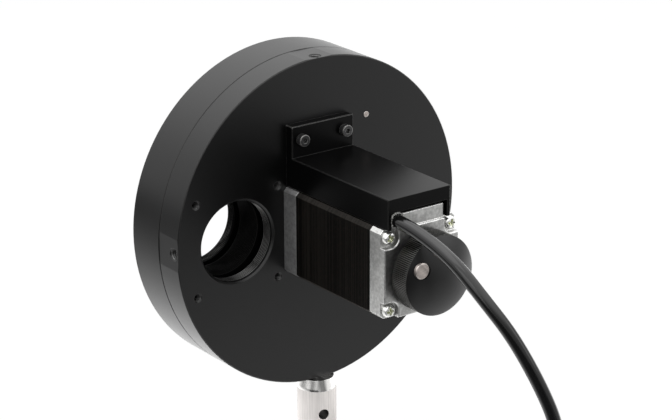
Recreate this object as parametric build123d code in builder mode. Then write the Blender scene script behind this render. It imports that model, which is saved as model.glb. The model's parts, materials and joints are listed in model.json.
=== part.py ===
from build123d import *
import math
import os

# A six-station filter wheel in a round aluminium housing, turned by a small stepper motor.
# The part stands on its post: the origin is the centre of the post's foot, +Z is up,
# the motor and its hand knob point to -Y, and the light passes along Y.

os.makedirs("parts", exist_ok=True)

# Post
post_length = 50.8
post_radius = 6.35
post_top_radius = 5.5
post_bevel = 3.5
post_cross_hole_radius = 1.75
post_cross_hole_drop = 11.5
post_cross_hole_angle = -14.0
foot_edge = 0.5
foot_thread_radius = 2.5
foot_thread_depth = 12.0
stud_hole_depth = 9.0
stud_end_gap = 0.5

# Housing
housing_radius = 53.5
flat_depth = 0.25
rear_part_depth = 10.4
front_part_depth = 14.8
rear_wall = 5.0
front_wall = 4.2
rim_wall = 4.6
edge_break = 0.3
lip_width = 1.0
lip_depth = 1.2
lip_gap = 0.1
side_tap_radius = 1.75
side_tap_mouth = 2.1
side_tap_floor = 1.64
rim_screw_radius = 1.0
rim_screw_head = 1.85
rim_screw_inset = 2.4
rim_screw_grip = 6.0
tapped_floor = 0.8

# Optical openings
aperture_radius = 13.15
aperture_bevel = 0.55
cage_pitch = 30.0
cage_hole_radius = 1.25
cage_hole_bevel = 0.25

# Filter wheel
stations = 6
station_web_ratio = 1.568389
wheel_thickness = 9.7
wheel_rim_gap = 1.0
wheel_rear_gap = 3.3
hub_radius = 8.0
hub_boss = 1.8
washer_radius = 4.25
washer_thickness = 0.8
recess_margin = 0.7
recess_cover = 0.1
wheel_screw_length = 8.0
ring_thickness = 1.6
ring_inner_radius = 11.9
ring_slot_width = 1.2
magnet_radius = 1.5
magnet_depth = 2.0
magnet_inset = 6.9

# Stepper motor
motor_width = 28.0
motor_chamfer = 1.15
cap_edge = 0.25
front_cap_depth = 6.4
stack_length = 37.3
rear_cap_depth = 7.3
pilot_radius = 11.0
pilot_height = 2.0
motor_screw_inset = 2.5
yoke_wall = 1.4
poles = 8
pole_width = 3.0
shoe_thickness = 0.6
slot_opening = 1.6
slot_depth = 2.47
stator_teeth_per_pole = 5
rotor_teeth = 50
tooth_depth = 0.5
tooth_width = 0.55
air_gap = 0.08
rotor_cup_length = 15.5
rotor_magnet_length = 4.0
rotor_magnet_step = 1.35
coil_thickness = 1.9
coil_width = 6.4
coil_overhang = 1.8
coil_gap = 0.1
coil_end_gap = 0.4
winding_pocket_wall = 1.8
shaft_radius = 2.5
shaft_core_radius = 3.2
shaft_flat_depth = 0.4
shaft_setback = 0.3
bearing_radius = 6.5
bearing_width = 4.0
bearing_inner_radius = 3.5
bearing_outer_inner_radius = 5.4
shield_thickness = 0.3
shield_inset = 0.3
shield_gap = 0.15
washer_gap = 0.5
wave_washer_inset = 0.2
shaft_hole_radius = 4.2
corner_notch = 5.4
corner_notch_depth = 2.2
corner_notch_round = 2.9
lug_right = 8.55
lug_height = 4.55
lug_setback = 0.8

# Hand knob
knob_gap = 1.3
knob_radius = 12.5
knob_band = 7.0
knob_dome = 3.0
knob_bore_depth = 6.0
knob_pin_radius = 2.5
knob_pin_length = 5.0
knob_pin_proud = 0.35
knob_pin_x = -7.8
knob_pin_z = 3.7
knob_pin_edge = 0.2
knob_bore_gap = 0.2
set_screw_radius = 1.5
set_screw_length = 6.0

# Cable cover
cover_width = 23.4
cover_offset = -1.24
cover_length = 51.2
cover_top = 23.95
cover_top_wall = 4.3
cover_side_wall = 1.2
cover_motor_gap = 0.3
flange_top = 34.05
flange_thickness = 3.2
cover_screw_pitch = 16.3
cover_screw_height = 29.55
cover_edge = 0.2

# Position sensor
board_width = 26.0
board_height = 15.0
board_thickness = 1.0
board_centre_x = 8.0
board_drop = 5.0
board_screw_spread = 18.0
board_screw_rise = 0.5
pin_x = 17.86
pin_drop = 4.28
pin_radius = 0.95
pin_proud = 0.15
wire_height = 17.05
wire_hole_radius = 2.0
wire_radius = 0.45
wire_pitch = 1.0
wire_bend = 6.0
wire_tight_bend = 1.2
wire_rise = 8.0
wire_solder_length = 2.0
lead_bend = 2.0
lead_turn = 7.0
lead_start_x = 1.6
lead_count = 4
sensor_size = (4.0, 3.0, 1.2)
sensor_edge = 0.2
board_corner = 2.0

# Screw sizes: radius of the shank, radius and height of the head, width across the hexagon
small_screw = (1.0, 1.9, 2.0, 1.5)
motor_screw = (1.25, 2.2, 2.3, 2.0)
wheel_screw_size = (1.5, 2.75, 3.0, 2.5)
board_screw = (1.0, 1.8, 1.3, 1.2)
body_screw_head = (2.1, 2.0)
head_edge = 0.15
hexagon_depth = 0.55
flat_head_hexagon = 0.62
cross_length = 1.2
cross_width = 0.3
cross_depth = 0.6

# Clearances
fit = 0.05
seat_gap = 0.02
through_fit = 0.1
head_fit = 0.2
head_sink = 0.3
tip_gap = 0.5
shared_tap_gap = 0.2
cable_clearance = 0.12

# Depth by which shapes that are drawn as one run into each other, and how near a size or place
# comes to the one by which an edge is picked
merge = 0.5
near = 0.01

# Cable, as control points of its route from the jacket's end inside the cover to the plug
cable_radius = 2.1
cable_route = [
    (-9.5, -45.5, 121.1), (-9.5, -57.5, 121.1), (-7.9, -69.0, 117.7), (-7.5, -79.6, 113.9),
    (-5.1, -88.6, 105.9), (-0.4, -95.5, 96.2), (5.6, -101.0, 81.6), (9.8, -104.5, 68.6),
    (11.4, -106.6, 52.4), (11.6, -109.6, 37.0), (11.4, -116.0, 22.6), (10.6, -126.4, 11.0),
    (8.0, -139.0, 3.9), (1.0, -152.0, 2.1), (-12.5, -161.4, 2.2), (-29.5, -164.6, 2.1),
    (-46.5, -159.4, 2.1), (-58.8, -146.6, 2.2), (-62.8, -129.6, 2.1), (-57.8, -112.8, 2.1),
    (-45.0, -100.8, 2.1), (-28.4, -95.4, 2.1), (-11.0, -93.4, 2.2), (6.0, -89.0, 2.1),
    (21.0, -79.6, 2.7), (32.0, -66.6, 5.2), (37.6, -53.4, 8.0), (38.0, -43.0, 8.0),
]

# Fifteen-pin plug on the cable
hood_width = 31.0
hood_height = 15.6
hood_length = 36.0
neck_length = 12.0
neck_radius = 4.6
hood_shoulder = 8.0
hood_corner = 2.0
shoulder_width = 15.2
shoulder_height = 12.6
neck_taper = 0.8
flange_plate = (30.8, 12.5, 1.0)
flange_corner = 1.5
shell_size = (16.9, 8.4, 6.0)
shell_wall = 0.5
shell_corner = 2.2
shell_angle = 80
pins_per_row = 5
pin_pitch = 2.3
row_pitch = 1.98
insert_rise = 1.2
contact_rise = 4.0
contact_radius = 0.4
thumb_screw_pitch = 25.0
thumb_screw_radius = 1.4
thumb_screw_recess = 1.0
thumb_head_radius = 3.0
thumb_head_length = 9.0
thumb_head_gap = 6.2

# Places worked out from the sizes above
axis_height = post_length + housing_radius - flat_depth
rear_face = -rear_wall / 2
cavity_back = rear_face + rear_wall
seam = rear_face + rear_part_depth
front_face = seam + front_part_depth
cavity_front = front_face - front_wall
cavity_radius = housing_radius - rim_wall
lip_radius = cavity_radius + lip_width
rim_screw_circle = housing_radius - rim_screw_inset
wheel_back = cavity_back + wheel_rear_gap
wheel_front = wheel_back + wheel_thickness
wheel_radius = cavity_radius - wheel_rim_gap
# The web between two stations is station_web_ratio times the web at the wheel's rim
aperture_offset = ((station_web_ratio * (wheel_radius - aperture_radius) + 2 * aperture_radius)
                   / (2 * math.sin(math.pi / stations) + station_web_ratio))
side_tap_depth = housing_radius - flat_depth - side_tap_floor - aperture_offset - aperture_radius
magnet_offset = wheel_radius - magnet_inset
board_centre_z = magnet_offset - board_drop
board_screw_height = board_centre_z + board_screw_rise
pin_z = board_centre_z - pin_drop
front_cap_back = rear_face - front_cap_depth
stack_back = front_cap_back - stack_length
rear_cap_back = stack_back - rear_cap_depth
rotor_centre = (front_cap_back + stack_back) / 2
rotor_length = 2 * rotor_cup_length + rotor_magnet_length
rotor_front = rotor_centre + rotor_length / 2
motor_screw_pitch = motor_width - 2 * motor_screw_inset
slot_radius = motor_width / 2 - yoke_wall
shoe_outer_radius = slot_radius - slot_depth
shoe_inner_radius = shoe_outer_radius - shoe_thickness
stator_bore = shoe_inner_radius - tooth_depth
rotor_radius = stator_bore - air_gap
rotor_core_radius = rotor_radius - tooth_depth
rotor_magnet_radius = rotor_radius - rotor_magnet_step
winding_outer = slot_radius + seat_gap
winding_inner = bearing_radius + winding_pocket_wall
knob_back = rear_cap_back - knob_gap
knob_face = knob_back - knob_band
cover_bottom = motor_width / 2 + cover_motor_gap
cable_x, cable_start = cable_route[0][:2]
lug_left = cable_x + cable_radius + cable_clearance
spacer_front = wheel_back - hub_boss
spacer_back = front_cap_back + bearing_width
recess_depth = wheel_screw_size[2] + washer_thickness + recess_cover
wheel_seat = wheel_front - recess_depth
shaft_front = wheel_seat - shaft_setback
shaft_rear = knob_back - knob_bore_depth
board_face = cavity_back + board_thickness
board_screw_places = ((board_centre_x - board_screw_spread / 2, board_screw_height),
                      (board_centre_x + board_screw_spread / 2, board_screw_height))


def at(y, x=0.0, z=0.0):
    """Plane across the wheel's axis at depth y, seen from the motor side: x right, y up, normal -Y."""
    return Plane(origin=(x, y, axis_height + z), x_dir=(1, 0, 0), z_dir=(0, -1, 0))


def finish(part, name):
    """Label a finished piece and write its STEP file."""
    part.label = name
    export_step(part, f"parts/{name}.step")


def socket_screw(seat, size, length):
    """Cap screw whose head stands on the plane seat and whose shank goes down from it."""
    shank_radius, head_radius, head_height, hexagon = size
    with BuildPart(seat) as screw:
        Cylinder(head_radius, head_height, align=(Align.CENTER, Align.CENTER, Align.MIN))
        top = screw.faces().sort_by(Axis(seat.origin, seat.z_dir))[-1]
        chamfer(top.edges(), head_edge)
        Cylinder(shank_radius, length, align=(Align.CENTER, Align.CENTER, Align.MAX))
        with BuildSketch(seat.offset(head_height)):
            RegularPolygon(hexagon / 2, 6, major_radius=False)
        extrude(amount=-head_height * hexagon_depth, mode=Mode.SUBTRACT)
    return screw.part


def flat_head_screw(face, shank_radius, head_radius, length):
    """Countersunk screw whose head is flush with the plane face."""
    head_height = head_radius - shank_radius
    with BuildPart(face) as screw:
        Cylinder(shank_radius, length, align=(Align.CENTER, Align.CENTER, Align.MAX))
        with Locations((0, 0, -head_height / 2)):
            Cone(shank_radius, head_radius, head_height)
        with BuildSketch(face):
            RegularPolygon(shank_radius * flat_head_hexagon, 6, major_radius=False)
        extrude(amount=-head_height, mode=Mode.SUBTRACT)
    return screw.part


def pan_head_screw(seat, shank_radius, head_radius, head_height, length):
    """Pan-head screw with a cross recess, standing on the plane seat."""
    with BuildPart(seat) as screw:
        Cylinder(head_radius, head_height, align=(Align.CENTER, Align.CENTER, Align.MIN))
        top = screw.faces().sort_by(Axis(seat.origin, seat.z_dir))[-1]
        fillet(top.edges(), head_height * 0.45)
        Cylinder(shank_radius, length, align=(Align.CENTER, Align.CENTER, Align.MAX))
        with BuildSketch(seat.offset(head_height)):
            Rectangle(head_radius * cross_length, head_radius * cross_width)
            Rectangle(head_radius * cross_width, head_radius * cross_length)
        extrude(amount=-head_height * cross_depth, mode=Mode.SUBTRACT)
    return screw.part


def motor_outline():
    """Square of the motor with its four corners cut off."""
    with BuildSketch(Plane.XY) as outline:
        Rectangle(motor_width, motor_width)
        chamfer(outline.vertices(), motor_chamfer)
    return outline.sketch


def optical_holes():
    """Outline of the aperture and its four cage-rod holes, about the wheel's axis."""
    with BuildSketch(Plane.XY) as holes:
        with Locations((-aperture_offset, 0)):
            Circle(aperture_radius)
            with GridLocations(cage_pitch, cage_pitch, 2, 2):
                Circle(cage_hole_radius)
    return holes.sketch


def optical_edges(part, y):
    """Mouth edges of the aperture and of the cage holes in the face at depth y."""
    on_face = [e for e in part.edges().filter_by(GeomType.CIRCLE) if abs(e.center().Y - y) < near]
    mouth = [e for e in on_face if abs(e.radius - aperture_radius) < near]
    cage = [
        e for e in on_face
        if abs(e.radius - cage_hole_radius) < near
        and abs(abs(e.arc_center.X + aperture_offset) - cage_pitch / 2) < near
    ]
    return mouth, cage


# Rear housing: plate and half the rim, with the motor's seat and four tapped side flats
with BuildPart() as rear_housing:
    with BuildSketch(at(rear_face)):
        Circle(housing_radius)
    extrude(amount=-rear_part_depth)
    with BuildSketch(at(cavity_back)):
        Circle(cavity_radius)
    extrude(amount=-(seam - cavity_back), mode=Mode.SUBTRACT)
    with BuildSketch(at(seam)):
        Circle(lip_radius + lip_gap)
    extrude(amount=lip_depth + lip_gap, mode=Mode.SUBTRACT)
    rim_edges = [e for e in rear_housing.edges().filter_by(GeomType.CIRCLE)
                 if abs(e.radius - housing_radius) < near]
    chamfer(rim_edges, edge_break)
    with BuildSketch(at(rear_face)):
        with PolarLocations(housing_radius - flat_depth + rim_wall / 2, 4):
            Rectangle(rim_wall, housing_radius)
    extrude(amount=-rear_part_depth, mode=Mode.SUBTRACT)
    with BuildSketch(at(rear_face)):
        Circle(pilot_radius + fit)
        with GridLocations(motor_screw_pitch, motor_screw_pitch, 2, 2):
            Circle(motor_screw[0] + fit)
        with Locations((0, wire_height)):
            Circle(wire_hole_radius)
        with Locations((pin_x, pin_z)):
            Circle(pin_radius + seat_gap)
    extrude(amount=-rear_wall, mode=Mode.SUBTRACT)
    with BuildSketch(at(cavity_back)):
        with GridLocations(motor_screw_pitch, motor_screw_pitch, 2, 2):
            Circle(motor_screw[1] + head_fit)
    extrude(amount=motor_screw[2] + head_sink, mode=Mode.SUBTRACT)
    with BuildSketch(at(rear_face)):
        add(optical_holes())
    extrude(amount=-rear_wall, mode=Mode.SUBTRACT)
    mouth_edges, cage_edges = optical_edges(rear_housing, rear_face)
    chamfer(mouth_edges, aperture_bevel)
    chamfer(cage_edges, cage_hole_bevel)
    with BuildSketch(at(rear_face)):
        with Locations((cover_offset, cover_screw_height)):
            with GridLocations(cover_screw_pitch, 0.0, 2, 1):
                Circle(small_screw[0] + fit)
    extrude(amount=-(rear_wall - tapped_floor), mode=Mode.SUBTRACT)
    with BuildSketch(at(seam)):
        with PolarLocations(rim_screw_circle, 4, start_angle=45):
            Circle(rim_screw_radius + fit)
    extrude(amount=rim_screw_grip, mode=Mode.SUBTRACT)
    with BuildSketch(at(cavity_back)):
        with Locations(*board_screw_places):
            Circle(board_screw[0] + fit)
    extrude(amount=rear_wall - tapped_floor, mode=Mode.SUBTRACT)
    for turn in range(4):
        radial = Vector(1, 0, 0).rotate(Axis.Y, 90 * turn)
        flat_centre = Vector(0, 0, axis_height) + radial * (housing_radius - flat_depth)
        with BuildSketch(Plane(origin=flat_centre, x_dir=(0, 1, 0), z_dir=radial)):
            Circle(side_tap_radius)
        extrude(amount=-side_tap_depth, mode=Mode.SUBTRACT)
        mouth = [e for e in rear_housing.edges().filter_by(GeomType.CIRCLE)
                 if abs(e.radius - side_tap_radius) < near and (e.arc_center - flat_centre).length < near]
        chamfer(mouth, side_tap_mouth - side_tap_radius)
finish(rear_housing.part, "rear_housing")

# Front housing: deep cover with a locating lip, held by four countersunk screws
with BuildPart() as front_housing:
    with BuildSketch(at(seam)):
        Circle(housing_radius)
    extrude(amount=-front_part_depth)
    chamfer(front_housing.edges().filter_by(GeomType.CIRCLE), edge_break)
    with BuildSketch(at(seam)):
        Circle(lip_radius)
    extrude(amount=lip_depth)
    with BuildSketch(at(seam - lip_depth)):
        Circle(cavity_radius)
    extrude(amount=-(cavity_front - seam + lip_depth), mode=Mode.SUBTRACT)
    with BuildSketch(at(front_face)):
        add(optical_holes())
    extrude(amount=front_wall, mode=Mode.SUBTRACT)
    mouth_edges, cage_edges = optical_edges(front_housing, front_face)
    chamfer(mouth_edges, aperture_bevel)
    chamfer(cage_edges, cage_hole_bevel)
    with BuildSketch(at(front_face)):
        with PolarLocations(rim_screw_circle, 4, start_angle=45):
            Circle(rim_screw_radius + through_fit)
    extrude(amount=front_part_depth, mode=Mode.SUBTRACT)
    screw_rims = [e for e in front_housing.edges().filter_by(GeomType.CIRCLE)
                  if abs(e.radius - rim_screw_radius - through_fit) < near
                  and abs(e.center().Y - front_face) < near]
    chamfer(screw_rims, rim_screw_head + fit - rim_screw_radius - through_fit)
finish(front_housing.part, "front_housing")

front_view = Plane(origin=(0, front_face, axis_height), x_dir=(-1, 0, 0), z_dir=(0, 1, 0))
with BuildPart() as housing_screws:
    for place in PolarLocations(rim_screw_circle, 4, start_angle=45).locations:
        seat = Plane(front_view.location * place)
        add(flat_head_screw(seat, rim_screw_radius, rim_screw_head,
                            front_part_depth + rim_screw_grip - tip_gap))
finish(housing_screws.part, "housing_screws")

# Filter wheel: six stations, a hub with a flatted bore, and a pocket for the index magnet
with BuildPart() as filter_wheel:
    with BuildSketch(at(wheel_back)):
        Circle(wheel_radius)
        with PolarLocations(aperture_offset, stations, start_angle=180):
            Circle(aperture_radius, mode=Mode.SUBTRACT)
    extrude(amount=-wheel_thickness)
    with BuildSketch(at(wheel_back)):
        Circle(hub_radius)
    extrude(amount=hub_boss)
    with BuildSketch(at(spacer_front)):
        Circle(shaft_radius + fit)
        with Locations((0, shaft_radius + fit - shaft_flat_depth / 2)):
            Rectangle(2 * shaft_radius, shaft_flat_depth, mode=Mode.SUBTRACT)
    extrude(amount=-(wheel_thickness + hub_boss), mode=Mode.SUBTRACT)
    with BuildSketch(at(wheel_front)):
        Circle(washer_radius + recess_margin)
    extrude(amount=recess_depth, mode=Mode.SUBTRACT)
    with BuildSketch(at(wheel_back)):
        with Locations((0, magnet_offset)):
            Circle(magnet_radius + seat_gap)
    extrude(amount=-(magnet_depth + fit), mode=Mode.SUBTRACT)
finish(filter_wheel.part, "filter_wheel")

# Retaining rings in the other stations: the one in the light path is open
with BuildPart() as retaining_rings:
    ring_outer = aperture_radius - fit
    for place in PolarLocations(aperture_offset, stations, start_angle=180).locations[1:]:
        with BuildSketch(Plane(at(wheel_front - 2 * ring_thickness).location * place)):
            Circle(ring_outer)
            Circle(ring_inner_radius, mode=Mode.SUBTRACT)
        extrude(amount=-ring_thickness)
        with BuildSketch(Plane(at(wheel_front - ring_thickness).location * place)):
            Rectangle(2 * ring_outer, ring_slot_width)
        extrude(amount=ring_thickness / 2, mode=Mode.SUBTRACT)
finish(retaining_rings.part, "retaining_rings")

with BuildPart() as index_magnet:
    with BuildSketch(at(wheel_back, 0, magnet_offset)):
        Circle(magnet_radius)
    extrude(amount=-magnet_depth)
finish(index_magnet.part, "index_magnet")

with BuildPart() as wheel_washer:
    with BuildSketch(at(wheel_seat)):
        Circle(washer_radius)
        Circle(wheel_screw_size[0] + through_fit, mode=Mode.SUBTRACT)
    extrude(amount=-washer_thickness)
finish(wheel_washer.part, "wheel_washer")

washer_top = Plane(origin=(0, wheel_seat + washer_thickness, axis_height), x_dir=(1, 0, 0), z_dir=(0, 1, 0))
with BuildPart() as wheel_screw:
    add(socket_screw(washer_top, wheel_screw_size, wheel_screw_length))
finish(wheel_screw.part, "wheel_screw")

with BuildPart() as wheel_spacer:
    with BuildSketch(at(spacer_front)):
        Circle(bearing_inner_radius)
        Circle(shaft_radius + fit, mode=Mode.SUBTRACT)
    extrude(amount=spacer_front - spacer_back)
finish(wheel_spacer.part, "wheel_spacer")

# Motor shaft: flatted at the wheel, thicker between the bearings, plain at the knob
with BuildPart() as motor_shaft:
    with BuildSketch(at(shaft_front)):
        Circle(shaft_radius)
    extrude(amount=shaft_front - shaft_rear)
    with BuildSketch(at(shaft_front)):
        with Locations((0, shaft_radius)):
            Rectangle(2 * shaft_radius, 2 * shaft_flat_depth)
    extrude(amount=shaft_front - spacer_front, mode=Mode.SUBTRACT)
    with BuildSketch(at(front_cap_back)):
        Circle(shaft_core_radius)
    extrude(amount=stack_length)
    with BuildSketch(at(shaft_front)):
        Circle(wheel_screw_size[0] + fit)
    extrude(amount=wheel_screw_length, mode=Mode.SUBTRACT)
finish(motor_shaft.part, "motor_shaft")

# Stepper rotor: two toothed cups half a tooth apart with a magnet between them
cup_places = {"rotor_front_cup": (rotor_front, 0.0),
              "rotor_rear_cup": (rotor_front - rotor_cup_length - rotor_magnet_length, 0.5)}
for cup_name, (cup_front, tooth_offset) in cup_places.items():
    with BuildPart() as rotor_cup:
        with BuildSketch(at(cup_front)):
            Circle(rotor_core_radius)
            with PolarLocations(rotor_core_radius, rotor_teeth,
                                start_angle=tooth_offset * 360 / rotor_teeth):
                Rectangle(2 * tooth_depth, tooth_width)
            Circle(shaft_core_radius + seat_gap, mode=Mode.SUBTRACT)
        extrude(amount=rotor_cup_length)
    finish(rotor_cup.part, cup_name)

with BuildPart() as rotor_magnet:
    with BuildSketch(at(rotor_front - rotor_cup_length)):
        Circle(rotor_magnet_radius)
        Circle(shaft_core_radius + seat_gap, mode=Mode.SUBTRACT)
    extrude(amount=rotor_magnet_length)
finish(rotor_magnet.part, "rotor_magnet")

# Ball bearings: shielded, one in each end cap
bearing_fronts = (spacer_back, stack_back)
with BuildPart() as bearing_outer_races:
    for bearing_front in bearing_fronts:
        with BuildSketch(at(bearing_front)):
            Circle(bearing_radius)
            Circle(bearing_outer_inner_radius, mode=Mode.SUBTRACT)
        extrude(amount=bearing_width)
        for shield_front in (bearing_front - shield_inset,
                             bearing_front - bearing_width + shield_inset + shield_thickness):
            with BuildSketch(at(shield_front)):
                Circle(bearing_outer_inner_radius)
                Circle(bearing_inner_radius + shield_gap, mode=Mode.SUBTRACT)
            extrude(amount=shield_thickness)
finish(bearing_outer_races.part, "bearing_outer_races")

with BuildPart() as bearing_inner_races:
    for bearing_front in bearing_fronts:
        with BuildSketch(at(bearing_front)):
            Circle(bearing_inner_radius)
            Circle(shaft_radius + seat_gap, mode=Mode.SUBTRACT)
        extrude(amount=bearing_width)
finish(bearing_inner_races.part, "bearing_inner_races")

# Motor end caps and laminated stator
with BuildPart() as motor_front_cap:
    with BuildSketch(at(rear_face)):
        add(motor_outline())
    extrude(amount=front_cap_depth)
    with BuildSketch(at(rear_face)):
        Circle(pilot_radius)
    extrude(amount=-pilot_height)
    with BuildSketch(at(front_cap_back)):
        Circle(bearing_radius + seat_gap)
    extrude(amount=-bearing_width, mode=Mode.SUBTRACT)
    with BuildSketch(at(front_cap_back)):
        Circle(shaft_hole_radius)
        with GridLocations(motor_screw_pitch, motor_screw_pitch, 2, 2):
            Circle(motor_screw[0] + fit)
    extrude(amount=-(front_cap_depth + pilot_height), mode=Mode.SUBTRACT)
    with BuildSketch(at(front_cap_back)):
        Circle(winding_outer)
        Circle(winding_inner, mode=Mode.SUBTRACT)
    extrude(amount=-(coil_overhang + coil_end_gap), mode=Mode.SUBTRACT)
finish(motor_front_cap.part, "motor_front_cap")

with BuildPart() as stator_stack:
    with BuildSketch(at(front_cap_back)):
        add(motor_outline())
        Circle(slot_radius, mode=Mode.SUBTRACT)
        with PolarLocations((shoe_outer_radius + slot_radius) / 2, poles):
            Rectangle(slot_radius - shoe_outer_radius + 2 * merge, pole_width)
        with BuildSketch(mode=Mode.ADD):
            Circle(shoe_outer_radius)
            Circle(shoe_inner_radius, mode=Mode.SUBTRACT)
            with PolarLocations(shoe_inner_radius, poles, start_angle=180 / poles):
                Rectangle(4 * shoe_thickness, slot_opening, mode=Mode.SUBTRACT)
        for pole in range(poles):
            first_tooth = 360 / poles * pole - (stator_teeth_per_pole - 1) / 2 * 360 / rotor_teeth
            for tooth in range(stator_teeth_per_pole):
                with PolarLocations(stator_bore + tooth_depth, 1,
                                    start_angle=first_tooth + tooth * 360 / rotor_teeth):
                    Rectangle(2 * tooth_depth, tooth_width)
        with GridLocations(motor_screw_pitch, motor_screw_pitch, 2, 2):
            Circle(motor_screw[0] + through_fit, mode=Mode.SUBTRACT)
    extrude(amount=stack_length)
finish(stator_stack.part, "stator_stack")

coil_length = stack_length + 2 * coil_overhang
with BuildPart(at(rotor_centre)) as stator_windings:
    coil_centre = shoe_outer_radius + coil_gap + coil_thickness / 2
    with PolarLocations(coil_centre, poles):
        Box(coil_thickness, coil_width, coil_length)
        Box(coil_thickness, pole_width + 2 * fit, stack_length + 2 * fit, mode=Mode.SUBTRACT)
finish(stator_windings.part, "stator_windings")

with BuildPart() as motor_rear_cap:
    with BuildSketch(at(stack_back)):
        add(motor_outline())
    extrude(amount=rear_cap_depth)
    lug_width = lug_right - lug_left
    with BuildSketch(at(stack_back)):
        with Locations(((lug_left + lug_right) / 2, (motor_width + lug_height - merge) / 2)):
            Rectangle(lug_width, lug_height + merge)
    extrude(amount=rear_cap_depth - lug_setback)
    with BuildSketch(at(stack_back)):
        Circle(bearing_radius + seat_gap)
    extrude(amount=bearing_width + washer_gap, mode=Mode.SUBTRACT)
    with BuildSketch(at(stack_back)):
        Circle(shaft_hole_radius)
        with GridLocations(motor_screw_pitch, motor_screw_pitch, 2, 2):
            Circle(motor_screw[0] + through_fit)
    extrude(amount=rear_cap_depth, mode=Mode.SUBTRACT)
    with BuildSketch(at(stack_back)):
        Circle(winding_outer)
        Circle(winding_inner, mode=Mode.SUBTRACT)
    extrude(amount=coil_overhang + coil_end_gap, mode=Mode.SUBTRACT)
    with BuildSketch(at(rear_cap_back)):
        with GridLocations(motor_width, motor_width, 2, 2):
            RectangleRounded(2 * corner_notch, 2 * corner_notch, corner_notch_round)
    extrude(amount=-corner_notch_depth, mode=Mode.SUBTRACT)
    bare_face = motor_rear_cap.faces().sort_by(Axis.Y)[0]
    chamfer(bare_face.outer_wire().edges(), cap_edge)
    lug_top = motor_rear_cap.faces().sort_by(Axis.Z)[-1]
    chamfer(lug_top.edges().filter_by(Axis.X).sort_by(Axis.Y)[0], cap_edge)
finish(motor_rear_cap.part, "motor_rear_cap")

with BuildPart() as wave_washer:
    with BuildSketch(at(stack_back - bearing_width - fit)):
        Circle(bearing_radius - wave_washer_inset)
        Circle(bearing_outer_inner_radius - wave_washer_inset, mode=Mode.SUBTRACT)
    extrude(amount=washer_gap - 2 * fit)
finish(wave_washer.part, "wave_washer")

screw_corners = GridLocations(motor_screw_pitch, motor_screw_pitch, 2, 2).locations
with BuildPart() as motor_body_screws:
    for corner in screw_corners:
        seat = at(rear_cap_back + corner_notch_depth, corner.position.X, corner.position.Y)
        shank = rear_cap_depth - corner_notch_depth + stack_length + front_cap_depth / 2 - shared_tap_gap
        add(pan_head_screw(seat, motor_screw[0], *body_screw_head, shank))
finish(motor_body_screws.part, "motor_body_screws")

with BuildPart() as motor_mount_screws:
    for corner in screw_corners:
        seat_y = cavity_back - motor_screw[2] - head_sink
        seat = Plane(origin=(corner.position.X, seat_y, axis_height + corner.position.Y),
                     x_dir=(1, 0, 0), z_dir=(0, 1, 0))
        add(socket_screw(seat, motor_screw, seat_y - rear_face + front_cap_depth / 2 - shared_tap_gap))
finish(motor_mount_screws.part, "motor_mount_screws")

# Hand knob on the rear end of the shaft, with its index pin and set screw
dome_radius = (knob_radius ** 2 + knob_dome ** 2) / (2 * knob_dome)
knob_apex = knob_face - knob_dome
pin_distance = math.hypot(knob_pin_x, knob_pin_z)
dome_at_pin = knob_apex + dome_radius - math.sqrt(dome_radius ** 2 - pin_distance ** 2)
pin_end = dome_at_pin - knob_pin_proud
set_screw_y = knob_back - knob_band / 2
with BuildPart() as knob:
    with BuildSketch(Plane(origin=(0, 0, axis_height), x_dir=(1, 0, 0), z_dir=(0, 0, 1))) as knob_half:
        with BuildLine():
            Polyline((0, knob_apex), (0, knob_back), (knob_radius, knob_back), (knob_radius, knob_face))
            RadiusArc((knob_radius, knob_face), (0, knob_apex), dome_radius)
        make_face()
    revolve(axis=Axis((0, 0, axis_height), (0, 1, 0)))
    with BuildSketch(at(knob_back)):
        Circle(shaft_radius + seat_gap)
    extrude(amount=knob_bore_depth + knob_bore_gap, mode=Mode.SUBTRACT)
    with BuildSketch(at(pin_end, knob_pin_x, knob_pin_z)):
        Circle(knob_pin_radius + seat_gap)
    extrude(amount=-knob_pin_length, mode=Mode.SUBTRACT)
    with BuildSketch(Plane(origin=(0, set_screw_y, axis_height), x_dir=(1, 0, 0), z_dir=(0, 0, -1))):
        Circle(set_screw_radius + fit)
    extrude(amount=knob_radius, mode=Mode.SUBTRACT)
finish(knob.part, "knob")

with BuildPart() as knob_pin:
    with BuildSketch(at(pin_end, knob_pin_x, knob_pin_z)):
        Circle(knob_pin_radius)
    extrude(amount=-knob_pin_length)
    chamfer(knob_pin.faces().sort_by(Axis.Y)[0].edges(), knob_pin_edge)
finish(knob_pin.part, "knob_pin")

set_screw_top = Plane(origin=(0, set_screw_y, axis_height - shaft_radius - seat_gap - set_screw_length),
                      x_dir=(1, 0, 0), z_dir=(0, 0, -1))
with BuildPart(set_screw_top) as knob_set_screw:
    Cylinder(set_screw_radius, set_screw_length, align=(Align.CENTER, Align.CENTER, Align.MAX))
    with BuildSketch(set_screw_top):
        RegularPolygon(set_screw_radius / 2, 6, major_radius=False)
    extrude(amount=-set_screw_length / 3, mode=Mode.SUBTRACT)
finish(knob_set_screw.part, "knob_set_screw")

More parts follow.
